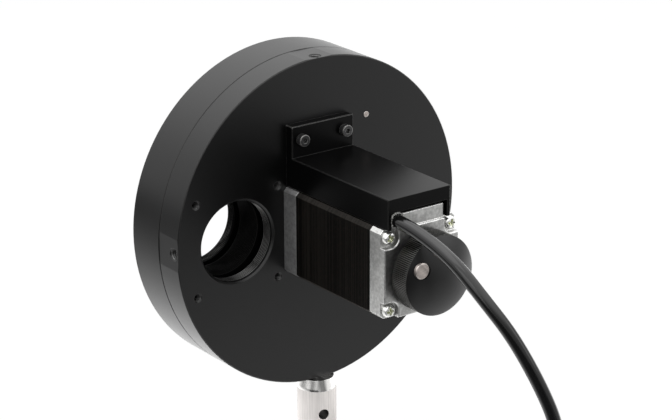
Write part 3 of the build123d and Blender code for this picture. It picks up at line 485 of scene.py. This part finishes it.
def faced_steel(colours):
    """End of a pin: fine parallel facing marks under a painted slanting sheen, with a painted highlight round its
    edge.
    """
    f = Finish("faced_steel", {"Metallic": 1.0})
    rounded, edge = f.edges(0.16 * MM)
    slant = f.axis("X") + f.axis("Z")
    marks = f.noise(0.12 * MM, 2, (14.0, 1.0, 1.6))
    # Painted sheen: a broad lighter band across the face along the slant
    painted_sheen = f.node("ShaderNodeTexNoise", {"noise_dimensions": "1D"},
                   {"W": slant / (2.6 * MM) + 0.4, "Scale": 1.0})
    blend = (marks * 0.45 + painted_sheen * 0.55).between(0.3, 0.7)
    face = f.mix(blend, scaled(colours.pin, 0.7), scaled(colours.pin, 1.25))
    # Painted highlight round the pin's edge
    return f.done(base_color=f.mix(edge, face, (0.85, 0.84, 0.82)),
                  roughness=0.4 - edge * 0.15 + marks * 0.12,
                  normal=f.bump(marks, 0.004 * MM, rounded))


def cable_jacket(colours):
    """Semi-gloss black jacket with a faint skin texture."""
    f = Finish("cable_jacket", {"Specular IOR Level": 0.43})
    skin = f.noise(0.6 * MM, 3)
    lay = f.noise(6.0 * MM, 2)
    return f.done(base_color=f.mix(lay, scaled(colours.jacket, 0.8), scaled(colours.jacket, 1.25)),
                  roughness=0.14 + lay * 0.05, normal=f.bump(skin, 0.006 * MM))


def plain_grain(name, shade, roughness, metallic, grain=0.4 * MM, depth=0.006 * MM):
    """Moulded, plated or ground surface with a slight grain and tone."""
    f = Finish(name, {"Metallic": metallic})
    rounded = f.edges(0.12 * MM)[0]
    texture = f.noise(grain, 3)
    return f.done(base_color=f.mix(texture, scaled(shade, 0.85), scaled(shade, 1.15)),
                  roughness=roughness - 0.05 + texture * 0.1, normal=f.bump(texture, depth, rounded))


def sealant(colours):
    """Cut edge of the seal round the cable: dark, with painted highlights on its torn tips."""
    f = Finish("sealant", {})
    torn = f.noise(0.35 * MM, 4)
    # Painted highlight: the torn tips are pale
    return f.done(base_color=f.mix(torn.between(0.4, 0.6), (0.03, 0.03, 0.03), (0.62, 0.62, 0.60)),
                  roughness=0.45 + torn * 0.2, normal=f.bump(torn, 0.15 * MM))


FINISHES = {
    "black_anodised": black_anodised,
    "cover_black": cover_black,
    "thread_black": thread_black,
    "aperture_black": aperture_black,
    "bore_black": bore_black,
    "ring_black": ring_black,
    "knob_black": knob_black,
    "cast_aluminium": cast_aluminium,
    "front_cap_casting": front_cap_casting,
    "laminations": laminations,
    "zinc_steel": zinc_steel,
    "black_steel": black_steel,
    "steel": steel,
    "faced_steel": faced_steel,
    "cable_jacket": cable_jacket,
    "sealant": sealant,
    "rotor_iron": lambda c: plain_grain("rotor_iron", (0.28, 0.28, 0.29), 0.35, 1.0),
    "magnet": lambda c: plain_grain("magnet", (0.45, 0.45, 0.46), 0.25, 1.0),
    "copper": lambda c: plain_grain("copper", tuple(c.copper), 0.3, 0.8, 0.25 * MM, 0.05 * MM),
    "board": lambda c: plain_grain("board", tuple(c.solder_mask), 0.35, 0.0),
    "black_plastic": lambda c: plain_grain("black_plastic", (0.018, 0.018, 0.019), 0.48, 0.0,
                                           0.5 * MM, 0.02 * MM),
    "wire_jacket": lambda c: plain_grain("wire_jacket", (0.30, 0.03, 0.03), 0.35, 0.0),
    "tin_plate": lambda c: plain_grain("tin_plate", (0.68, 0.67, 0.63), 0.28, 1.0),
    "gold_contact": lambda c: plain_grain("gold_contact", (0.83, 0.60, 0.25), 0.2, 1.0),
}

# Nodes whose finish isn't their slot's usual one
NODE_FINISHES = {
    "motor_front_cap": "front_cap_casting",
    "knob_pin": "faced_steel",
    "locating_pin": "faced_steel",
    "cable_cover": "cover_black",
    "filter_wheel": "bore_black",
    "retaining_rings": "ring_black",
}


def finish(name):
    """The material of that name, made when it is first asked for."""
    known = bpy.data.materials.get(name + "_finish")
    return known or FINISHES[name](bpy.context.scene.filter_wheel_colours)


def closed_surface(name, rings, rows_wrap=False):
    """Mesh of rings[i, j]: j wraps round; i wraps too, or each end ring is closed by a fan about its mean."""
    rows, columns, _ = rings.shape
    points = rings.reshape(-1, 3)
    row = np.arange(rows if rows_wrap else rows - 1)[:, None]
    column = np.arange(columns)[None, :]
    next_row, next_column = (row + 1) % rows, (column + 1) % columns
    corners = [row * columns + column, next_row * columns + column,
               next_row * columns + next_column, row * columns + next_column]
    quads = np.stack(corners, -1).reshape(-1, 4)
    signed = volume(points[quads])
    faces = quads.tolist()
    if not rows_wrap:
        ring, after = column[0], next_column[0]
        last = (rows - 1) * columns
        points = np.vstack([points, rings[0].mean(0), rings[-1].mean(0)])
        first_fan = np.stack([np.full(columns, rows * columns), ring, after], -1)
        last_fan = np.stack([np.full(columns, rows * columns + 1), last + after, last + ring], -1)
        faces += first_fan.tolist() + last_fan.tolist()
        signed += volume(points[first_fan]) + volume(points[last_fan])
    mesh = bpy.data.meshes.new(name)
    mesh.from_pydata(points, [], faces)
    if signed < 0:
        mesh.flip_normals()
    mesh.update()
    return mesh


def volume(corners):
    """Signed volume under faces of three or four corners: the sum of a . (b x c) / 6 over their triangles."""
    total = 0.0
    for k in range(1, corners.shape[1] - 1):
        total += np.einsum("ij,ij->", corners[:, 0], np.cross(corners[:, k], corners[:, k + 1])) / 6
    return total


def about(centre, axis, radius, height, angle):
    """Points centre + height * axis + radius * (cos(angle) * side + sin(angle) * up), broadcast."""
    axis = Vector(axis).normalized()
    side = axis.orthogonal().normalized()
    up = axis.cross(side)
    radius, height, angle = np.broadcast_arrays(radius, height, angle)
    return (np.array(centre) + height[..., None] * np.array(axis)
            + (radius * np.cos(angle))[..., None] * np.array(side)
            + (radius * np.sin(angle))[..., None] * np.array(up))


def add_piece(name, mesh, material, body, crease=32.0):
    """Object for a finished mesh, smooth below the crease angle, riding on a body."""
    mesh.shade_smooth()
    mesh.set_sharp_from_angle(angle=math.radians(crease))
    mesh.materials.append(material)
    piece = bpy.data.objects.new(name, mesh)
    bpy.context.scene.collection.objects.link(piece)
    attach(piece, body)
    return piece


def thread_sleeve(name, mouth, inward, radius, depth, pitch, ridge, columns=144):
    """Thread that lines a bore: radius - ridge * saw(h / pitch - t / 2 pi) ** 1.3, closed behind."""
    turn = np.linspace(0, 2 * math.pi, columns, endpoint=False)[None, :]
    height = np.linspace(0, depth, int(depth / pitch * 6) + 1)[:, None]
    saw = np.abs(2 * np.mod(height / pitch - turn / (2 * math.pi), 1.0) - 1)
    fade = np.clip(np.minimum(height, depth - height) / (0.6 * pitch), 0, 1)
    inner = about(mouth, inward, radius - 0.02 * MM - ridge * fade * saw ** 1.3, height, turn)
    outer = about(mouth, inward, np.full_like(height, radius + 0.03 * MM), height, turn)[::-1]
    return closed_surface(name, np.vstack([inner, outer]), rows_wrap=True)


class FILTERWHEEL_OT_dress_frame(bpy.types.Operator):
    """Give every piece of the frame the finish of its material slot"""

    bl_idname = "filter_wheel.dress_frame"
    bl_label = "Dress the frame"

    def execute(self, context):
        for node, thing in nodes.items():
            thing.material_slots[0].material = finish(NODE_FINISHES.get(node, slots[node]))
        return {"FINISHED"}


class FILTERWHEEL_OT_cable(bpy.types.Operator):
    """Lay the cable from the motor's lug to its plug, with the seal at its root"""

    bl_idname = "filter_wheel.cable"
    bl_label = "Cable"

    def execute(self, context):
        sizes = context.scene.filter_wheel_sizes
        curve = bpy.data.curves.new("cable_jacket", "CURVE")
        curve.dimensions = "3D"
        curve.resolution_u = 10
        curve.bevel_depth = sizes.cable_radius
        curve.bevel_resolution = 7
        curve.use_fill_caps = True
        route = np.array(CABLE_ROUTE_MM) * MM
        line = curve.splines.new("NURBS")
        line.points.add(len(route) - 1)
        for point, place in zip(line.points, route):
            point.co = (*place, 1.0)
        line.order_u = 3
        line.use_endpoint_u = True
        jacket = bpy.data.objects.new("cable_jacket", curve)
        context.scene.collection.objects.link(jacket)
        curve.materials.append(finish("cable_jacket"))
        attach(jacket, "housing")
        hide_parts("cable")
        cover_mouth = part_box("cable_cover")[0].y
        self.seal(sizes, route[0], cover_mouth)
        return {"FINISHED"}

    def seal(self, sizes, root, mouth_y):
        """Ragged ring on the lug's face: a torus whose section swells and shrinks by sums of sines."""
        turn = np.linspace(0, 2 * math.pi, 96, endpoint=False)[None, :]
        section = np.linspace(0, 2 * math.pi, 14, endpoint=False)[:, None]
        wave = (0.2 * np.sin(5 * turn + 1.0) + 0.22 * np.sin(11 * turn + 2 * section)
                + 0.16 * np.sin(17 * turn) + 0.2 * np.sin(3 * section + 23 * turn))
        tube = sizes.bead_radius * (1 + wave)
        radius = sizes.cable_radius + 0.12 * MM + tube * np.cos(section)
        middle = (root[0], mouth_y + 0.45 * MM, root[2])
        rings = about(middle, (0, -1, 0), radius, tube * np.sin(section), turn)
        add_piece("cable_seal", closed_surface("cable_seal", rings, rows_wrap=True), finish("sealant"),
                  "housing", 60)


class FILTERWHEEL_OT_knob(bpy.types.Operator):
    """Turn the hand knob with its knurled band and domed face"""

    bl_idname = "filter_wheel.knob"
    bl_label = "Hand knob"

    def execute(self, context):
        """Rings (r cos t, y, r sin t): bore, knurled band, then a sphere's cap that narrows to the pin."""
        sizes = context.scene.filter_wheel_sizes
        low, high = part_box("knob")
        pin_low, pin_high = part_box("knob_pin")
        shaft_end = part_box("motor_shaft")[0].y - 0.2 * MM
        radius = (high.x - low.x) / 2
        back, apex = high.y, low.y
        band_end = back - sizes.knob_band
        dome = band_end - apex
        sphere = (radius ** 2 + dome ** 2) / (2 * dome)
        per_groove = 8
        turn = np.linspace(0, 2 * math.pi, sizes.knurl_grooves * per_groove, endpoint=False)
        groove = np.abs(2 * np.mod(turn * sizes.knurl_grooves / (2 * math.pi), 1.0) - 1)
        groove = sizes.knurl_depth * (1 - np.clip(groove * 1.6 - 0.1, 0, 1))
        shape = np.stack([np.cos(turn), np.sin(turn)], -1)
        edge = sizes.knob_edge

        def ring(r, y):
            return np.concatenate([(r * shape.T).T, np.full((len(turn), 1), y)], 1)

        def dome_y(flat):
            return apex + sphere - np.sqrt(sphere ** 2 - (flat ** 2).sum(-1))

        rows = [ring(KNOB_BORE, shaft_end), ring(KNOB_BORE, back)]
        rows += [ring(r, back) for r in np.linspace(KNOB_BORE, radius - edge - sizes.knurl_depth, 3)[1:]]
        rows += [ring(radius - edge - sizes.knurl_depth * 0.2, back)]
        rows += [ring(radius - groove, y) for y in np.linspace(back - edge, band_end + 0.12 * MM, 5)]
        rows += [ring(radius - 0.05 * MM, band_end)]
        pin = np.array([(pin_low.x + pin_high.x) / 2, (pin_low.z + pin_high.z) / 2 - wheel_axis.z])
        pin_radius = (pin_high.x - pin_low.x) / 2
        hole = pin + shape * (pin_radius + sizes.pin_moat)
        outer = shape * (radius - 0.05 * MM)
        for share in np.linspace(0, 1, 26)[1:]:
            flat = outer * (1 - share) + hole * share
            rows.append(np.concatenate([flat, dome_y(flat)[:, None]], 1))
        floor = dome_y(pin) + 0.8 * MM
        rows += [np.concatenate([hole, np.full((len(turn), 1), floor)], 1)]
        rings = np.stack(rows)
        rings = np.stack([rings[..., 0], rings[..., 2], rings[..., 1] + wheel_axis.z], -1)
        knob = add_piece("knob_body", closed_surface("knob_body", rings), finish("knob_black"),
                         "rotor", 40)
        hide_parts("knob")
        return {"FINISHED"}


class FILTERWHEEL_OT_threads(bpy.types.Operator):
    """Cut the fine threads of the apertures and stations and those of the tapped holes"""

    bl_idname = "filter_wheel.threads"
    bl_label = "Threads"

    def execute(self, context):
        sizes = context.scene.filter_wheel_sizes
        for side in ("rear", "front"):
            mount = mounts[side + "_aperture"]
            dims, axis = mount["dims"], Vector(mount["axis"])
            face = Vector(mounts[side + "_cage_holes"]["pos_m"])
            name = side + "_aperture_thread"
            mesh = thread_sleeve(name, face - axis * APERTURE_BEVEL, -axis, dims["r_mm"] * MM,
                                 dims["length_mm"] * MM, sizes.thread_pitch, sizes.thread_depth)
            add_piece(name, mesh, finish("aperture_black"), "housing", 50)
        self.station_threads(sizes)
        self.tapped_holes(sizes)
        return {"FINISHED"}

    def station_threads(self, sizes):
        """A thread in each station of the wheel, from its front face to its rear face."""
        low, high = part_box("filter_wheel")
        aperture = Vector(mounts["rear_aperture"]["pos_m"])
        radius = mounts["rear_aperture"]["dims"]["r_mm"] * MM
        depth = high.y - low.y - STATION_SEAT
        out = Vector((aperture.x, 0, aperture.z - wheel_axis.z))
        for station in range(STATIONS):
            spin = Matrix.Rotation(2 * math.pi * station / STATIONS, 3, "Y")
            place = wheel_axis + spin @ out
            place.y = high.y
            name = f"station_thread_{station + 1}"
            mesh = thread_sleeve(name, place, (0, -1, 0), radius, depth,
                                 sizes.thread_pitch, 0.8 * sizes.thread_depth, 96)
            add_piece(name, mesh, finish("bore_black"), "rotor", 50)

    def tapped_holes(self, sizes):
        """Threads of the three free side holes and of the eight cage holes."""
        for side in ("top", "left", "right"):
            mount = mounts[side + "_tapped_hole"]
            dims, axis = mount["dims"], Vector(mount["axis"])
            mouth = Vector((0, 0, wheel_axis.z)) + axis * SIDE_FLAT_REACH
            name = side + "_tap_thread"
            mesh = thread_sleeve(name, mouth, -axis, dims["r_mm"] * MM, dims["length_mm"] * MM,
                                 sizes.tap_pitch, sizes.tap_depth, 48)
            add_piece(name, mesh, finish("thread_black"), "housing", 50)
        for side in ("rear", "front"):
            mount = mounts[side + "_cage_holes"]
            dims, axis = mount["dims"], Vector(mount["axis"])
            half = dims["spacing_x_mm"] * MM / 2
            for corner, (x, z) in enumerate(((-half, -half), (half, -half), (half, half), (-half, half))):
                name = f"{side}_cage_thread_{corner + 1}"
                mouth = Vector(mount["pos_m"]) + Vector((x, 0, z)) - axis * CAGE_HOLE_BEVEL
                mesh = thread_sleeve(name, mouth, -axis, dims["hole_r_mm"] * MM, CAGE_THREAD_LENGTH,
                                     0.5 * sizes.tap_pitch, 0.6 * sizes.tap_depth, 32)
                add_piece(name, mesh, finish("thread_black"), "housing", 50)


class FILTERWHEEL_OT_motor_screws(bpy.types.Operator):
    """Turn the pan-head screws in the corners of the motor's rear cap"""

    bl_idname = "filter_wheel.motor_screws"
    bl_label = "Motor screws"

    def execute(self, context):
        sizes = context.scene.filter_wheel_sizes
        low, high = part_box("motor_body_screws")
        pitch = (high.x - low.x) / 2 - sizes.screw_head
        all_screws = bmesh.new()
        for sx, sz, cross in ((-1, 1, 0.35), (1, 1, 0.9), (-1, -1, 0.7), (1, -1, 0.2)):
            middle = (sx * pitch, low.y, wheel_axis.z + sz * pitch)
            screw = self.pan_head(sizes, middle, high.y - low.y, cross)
            all_screws.from_mesh(screw)
            bpy.data.meshes.remove(screw)
        mesh = bpy.data.meshes.new("pan_head_screws")
        all_screws.to_mesh(mesh)
        all_screws.free()
        screws = add_piece("pan_head_screws", mesh, finish("zinc_steel"), "housing", 38)
        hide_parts("motor_body_screws")
        return {"FINISHED"}

    def pan_head(self, sizes, middle, shank_end, cross):
        """Head rise * (1 - (r / head) ** 5) ** 0.4, less a cross recess that shallows along its arms."""
        turn = np.linspace(0, 2 * math.pi, 144, endpoint=False)[None, :]
        share = np.concatenate([np.linspace(0.02, 0.9, 34), np.linspace(0.92, 1.0, 7)])[:, None]
        radius = sizes.screw_head * share
        dome = sizes.screw_rise * (1 - (1 - (radius / sizes.screw_head) ** 5) ** 0.4)
        recess = np.zeros_like(radius * turn)
        for arm in (cross, cross + math.pi / 2):
            beside = np.abs(radius * np.sin(turn - arm))
            wall = np.clip((sizes.recess_width / 2 - beside) / (0.12 * MM) + 0.5, 0, 1)
            shallower = np.clip(1.1 - radius / sizes.recess_arm, 0, 1)
            recess = np.maximum(recess, sizes.recess_depth * wall * shallower)
        head = about(middle, (0, 1, 0), radius, dome + recess, turn)
        steps = ((sizes.screw_head, sizes.screw_rise), (sizes.screw_shank, sizes.screw_rise),
                 (sizes.screw_shank, shank_end))
        shank = [about(middle, (0, 1, 0), r, np.full_like(turn, height), turn) for r, height in steps]
        return closed_surface("pan_head", np.vstack([head[:-1], *shank]))


class FILTERWHEEL_OT_post(bpy.types.Operator):
    """Turn the post about its own axis, so that its cross hole faces a little left of the back"""

    bl_idname = "filter_wheel.post"
    bl_label = "Post"

    def execute(self, context):
        turned = bmesh.new()
        turned.from_mesh(nodes["mounting_post"].data)
        bmesh.ops.remove_doubles(turned, verts=turned.verts, dist=0.001 * MM)
        turn = Matrix.Rotation(context.scene.filter_wheel_sizes.post_turn, 3, "Z")
        bmesh.ops.rotate(turned, verts=turned.verts, cent=(0.0, 0.0, 0.0), matrix=turn)
        mesh = bpy.data.meshes.new("turned_post")
        turned.to_mesh(mesh)
        turned.free()
        post = add_piece("turned_post", mesh, finish("steel"), "housing", 12.5)
        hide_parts("mounting_post")
        return {"FINISHED"}


class FILTERWHEEL_OT_motor_sheets(bpy.types.Operator):
    """Lay the edges of the motor's laminations over its stack"""

    bl_idname = "filter_wheel.motor_sheets"
    bl_label = "Motor sheets"

    def execute(self, context):
        sizes = context.scene.filter_wheel_sizes
        low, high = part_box("stator_stack")
        half = (high.x - low.x) / 2
        sheets = round((high.y - low.y) / sizes.sheet_thickness)
        step = (high.y - low.y) / sheets
        crowns = np.arange(sheets)[:, None] * step + np.array([0.0, 0.22, 0.78])[None, :] * step
        relief = np.tile([0.0, sizes.sheet_relief, sizes.sheet_relief], (sheets, 1))
        height = np.append(crowns.ravel(), high.y - low.y) + low.y
        relief = np.append(relief.ravel(), 0.0)
        height = np.concatenate([height, height[[-1, 0]]])
        relief = np.concatenate([relief, [-0.05 * MM, -0.05 * MM]])
        rings = self.outline(half, relief, height)
        sheets_mesh = closed_surface("stack_sheets", rings, rows_wrap=True)
        add_piece("stack_sheets", sheets_mesh, finish("laminations"), "housing", 20)
        return {"FINISHED"}

    def outline(self, half, out, height):
        """Rings of the square with cut corners, moved out: side half + out, corner half - cut + 0.414 out."""
        side = half + out
        corner = half - STACK_CORNER_CUT + (math.sqrt(2) - 1) * out
        signs = [(1, -1, 0), (1, 1, 0), (1, 1, 1), (-1, 1, 1),
                 (-1, 1, 0), (-1, -1, 0), (-1, -1, 1), (1, -1, 1)]
        columns = []
        for sx, sz, swap in signs:
            x, z = (corner, side) if swap else (side, corner)
            columns.append(np.stack([sx * x, height, sz * z + wheel_axis.z], -1))
        return np.stack(columns, 1)


# Soft lamps: name, place and side length in metres, power in watts
LAMPS = (
    ("top_softbox", (-0.15, 0.1, 1.1), 0.9, 3.2),
    ("left_softbox", (-1.1, -0.5, 0.6), 0.8, 2.6),
    ("right_softbox", (0.9, -0.9, 0.5), 0.5, 1.0),
)


class FILTERWHEEL_OT_studio(bpy.types.Operator):
    """Set up the camera, the pale table and the soft light"""

    bl_idname = "filter_wheel.studio"
    bl_label = "Studio"

    def execute(self, context):
        studio = context.scene.filter_wheel_studio
        self.camera(context, studio)
        self.table(context)
        self.sky(context, studio)
        for name, place, size, watts in LAMPS:
            self.lamp(context, name, place, size, watts)
        context.scene.view_settings.view_transform = "Standard"
        return {"FINISHED"}

    def back(self, studio):
        """Unit vector from the housing to the camera: (sin a cos e, -cos a cos e, sin e)."""
        a, e = studio.azimuth, studio.elevation
        return Vector((math.sin(a) * math.cos(e), -math.cos(a) * math.cos(e), math.sin(e)))

    def camera(self, context, studio):
        """Camera that looks against its back vector, at its distance from the housing's rear face."""
        back = self.back(studio)
        right = Vector((math.cos(studio.azimuth), math.sin(studio.azimuth), 0.0))
        up = back.cross(right)
        turned_right = right * math.cos(studio.roll) + up * math.sin(studio.roll)
        turned_up = up * math.cos(studio.roll) - right * math.sin(studio.roll)
        look_at = Vector((0.0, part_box("rear_housing")[0].y, wheel_axis.z))
        place = (look_at + back * studio.distance + turned_right * studio.rightward
                 + turned_up * studio.upward)
        lens = bpy.data.cameras.new("photo_camera")
        lens.sensor_width = 36.0
        lens.lens = studio.lens
        lens.clip_start = 0.01
        lens.clip_end = 20.0
        camera = bpy.data.objects.new("photo_camera", lens)
        axes = Matrix((turned_right, turned_up, back)).transposed()
        camera.matrix_world = Matrix.Translation(place) @ axes.to_4x4()
        context.scene.collection.objects.link(camera)
        context.scene.camera = camera

    def table(self, context):
        """Pale table: nearly white with a faint shadow for the camera, a pool of light for reflections."""
        half = 4.0
        corners = [(-half, -half, 0), (half, -half, 0), (half, half, 0), (-half, half, 0)]
        mesh = bpy.data.meshes.new("table")
        mesh.from_pydata(corners, [], [(0, 1, 2, 3)])
        material = bpy.data.materials.new("table_white")
        material.use_nodes = True
        w = Wiring(material.node_tree)
        shader = w.nodes["Principled BSDF"]
        w.feed(shader.inputs["Base Color"], (0.86, 0.86, 0.86))
        w.feed(shader.inputs["Roughness"], 0.9)
        camera, reflected = self.seen(w)
        place = w.node("ShaderNodeTexCoord", output="Object")
        far = w.node("ShaderNodeVectorMath", {"operation": "LENGTH"}, {0: place}, output="Value") / 0.2
        across = w.node("ShaderNodeSeparateXYZ", None, {0: place}, output="X")
        along = w.node("ShaderNodeSeparateXYZ", None, {0: place}, output="Y")
        # The pool fades with the distance, is brighter behind and to the right, and shaded on the front left
        behind, right = along.between(0.02, 0.1), across.between(0.18, 0.34)
        beside = across.between(0.14, 0.26) * along.between(-0.28, -0.12)
        front_left = across.between(0.01, -0.06) * along.between(-0.04, -0.12)
        pool = ((0.1 + 1.4 / (far * far + 1.0) + 2.2 * behind / (4.0 * far * far + 1.0))
                * (1.0 - 0.9 * front_left) + right * 0.75 + beside)
        glow = w.node("ShaderNodeEmission", None, {"Color": (1.0, 1.0, 1.0),
                                                   "Strength": camera * 1.03 + (1.0 - camera) * pool})
        blend = w.node("ShaderNodeMixShader", None, {0: camera.larger(reflected) * 0.93})
        w.links.new(shader.outputs[0], blend.socket.node.inputs[1])
        w.links.new(glow.socket, blend.socket.node.inputs[2])
        w.links.new(blend.socket, w.nodes["Material Output"].inputs[0])
        mesh.materials.append(material)
        table = bpy.data.objects.new("table", mesh)
        context.scene.collection.objects.link(table)

    def seen(self, w):
        """Masks of the camera's own rays, and of those in reflections or through glass."""
        camera = w.node("ShaderNodeLightPath", output="Is Camera Ray")
        outputs = camera.socket.node.outputs
        glossy, passing = (Signal(w, outputs[f"Is {kind} Ray"]) for kind in ("Glossy", "Transmission"))
        return camera, glossy.larger(passing)

    def sky(self, context, studio):
        """World: white for the camera, a room with a bright canopy for reflections, grey for the rest."""
        world = bpy.data.worlds.new("studio_white")
        world.use_nodes = True
        w = Wiring(world.node_tree)
        camera, reflected = self.seen(w)
        direction = w.node("ShaderNodeTexCoord", output="Generated")
        canopy = w.node("ShaderNodeSeparateXYZ", None, {0: direction}, output="Z").between(0.25, 0.7)
        behind = w.node("ShaderNodeSeparateXYZ", None, {0: direction}, output="Y").between(-0.3, 0.6)
        room = w.node("ShaderNodeVectorMath", {"operation": "DOT_PRODUCT"},
                      {0: direction, 1: self.back(studio)}, output="Value")
        mirrored = 0.9 + behind * 0.25 + canopy * (1.4 - 0.2 * behind) - 0.25 * room.between(0.5, 0.9)
        strength = (camera + reflected * (1.0 - camera) * mirrored
                    + (1.0 - camera.larger(reflected)) * studio.ambient)
        w.feed(w.nodes["Background"].inputs["Color"], (1.0, 1.0, 1.0))
        w.feed(w.nodes["Background"].inputs["Strength"], strength)
        context.scene.world = world

    def lamp(self, context, name, place, size, watts):
        """Square soft lamp aimed at the housing."""
        light = bpy.data.lights.new(name, "AREA")
        light.size = size
        light.energy = watts
        lamp = bpy.data.objects.new(name, light)
        lamp.location = place
        lamp.rotation_euler = (wheel_axis - Vector(place)).to_track_quat("-Z", "Y").to_euler()
        context.scene.collection.objects.link(lamp)


class FILTERWHEEL_PT_panel(bpy.types.Panel):
    """Steps that build the filter wheel's looks"""

    bl_label = "Filter Wheel"
    bl_idname = "FILTERWHEEL_PT_panel"
    bl_space_type = "VIEW_3D"
    bl_region_type = "UI"
    bl_category = "Filter Wheel"

    def draw(self, context):
        for operator in OPERATORS:
            self.layout.operator(operator.bl_idname)
        for group in ("filter_wheel_sizes", "filter_wheel_colours", "filter_wheel_studio"):
            settings = getattr(context.scene, group)
            box = self.layout.box()
            for name in settings.bl_rna.properties.keys():
                if name not in ("rna_type", "name"):
                    box.prop(settings, name)


GROUPS = {
    "filter_wheel_sizes": FilterWheelSizes,
    "filter_wheel_colours": FilterWheelColours,
    "filter_wheel_studio": FilterWheelStudio,
}
OPERATORS = (
    FILTERWHEEL_OT_studio,
    FILTERWHEEL_OT_dress_frame,
    FILTERWHEEL_OT_cable,
    FILTERWHEEL_OT_knob,
    FILTERWHEEL_OT_threads,
    FILTERWHEEL_OT_motor_screws,
    FILTERWHEEL_OT_motor_sheets,
    FILTERWHEEL_OT_post,
)
CLASSES = (*GROUPS.values(), *OPERATORS, FILTERWHEEL_PT_panel)


def register():
    for item in CLASSES:
        bpy.utils.register_class(item)
    for name, group in GROUPS.items():
        setattr(bpy.types.Scene, name, PointerProperty(type=group))


def unregister():
    for name in GROUPS:
        delattr(bpy.types.Scene, name)
    for item in reversed(CLASSES):
        bpy.utils.unregister_class(item)


def main():
    register()
    for operator in OPERATORS:
        family, name = operator.bl_idname.split(".")
        getattr(getattr(bpy.ops, family), name)()


if __name__ == "__main__":
    main()
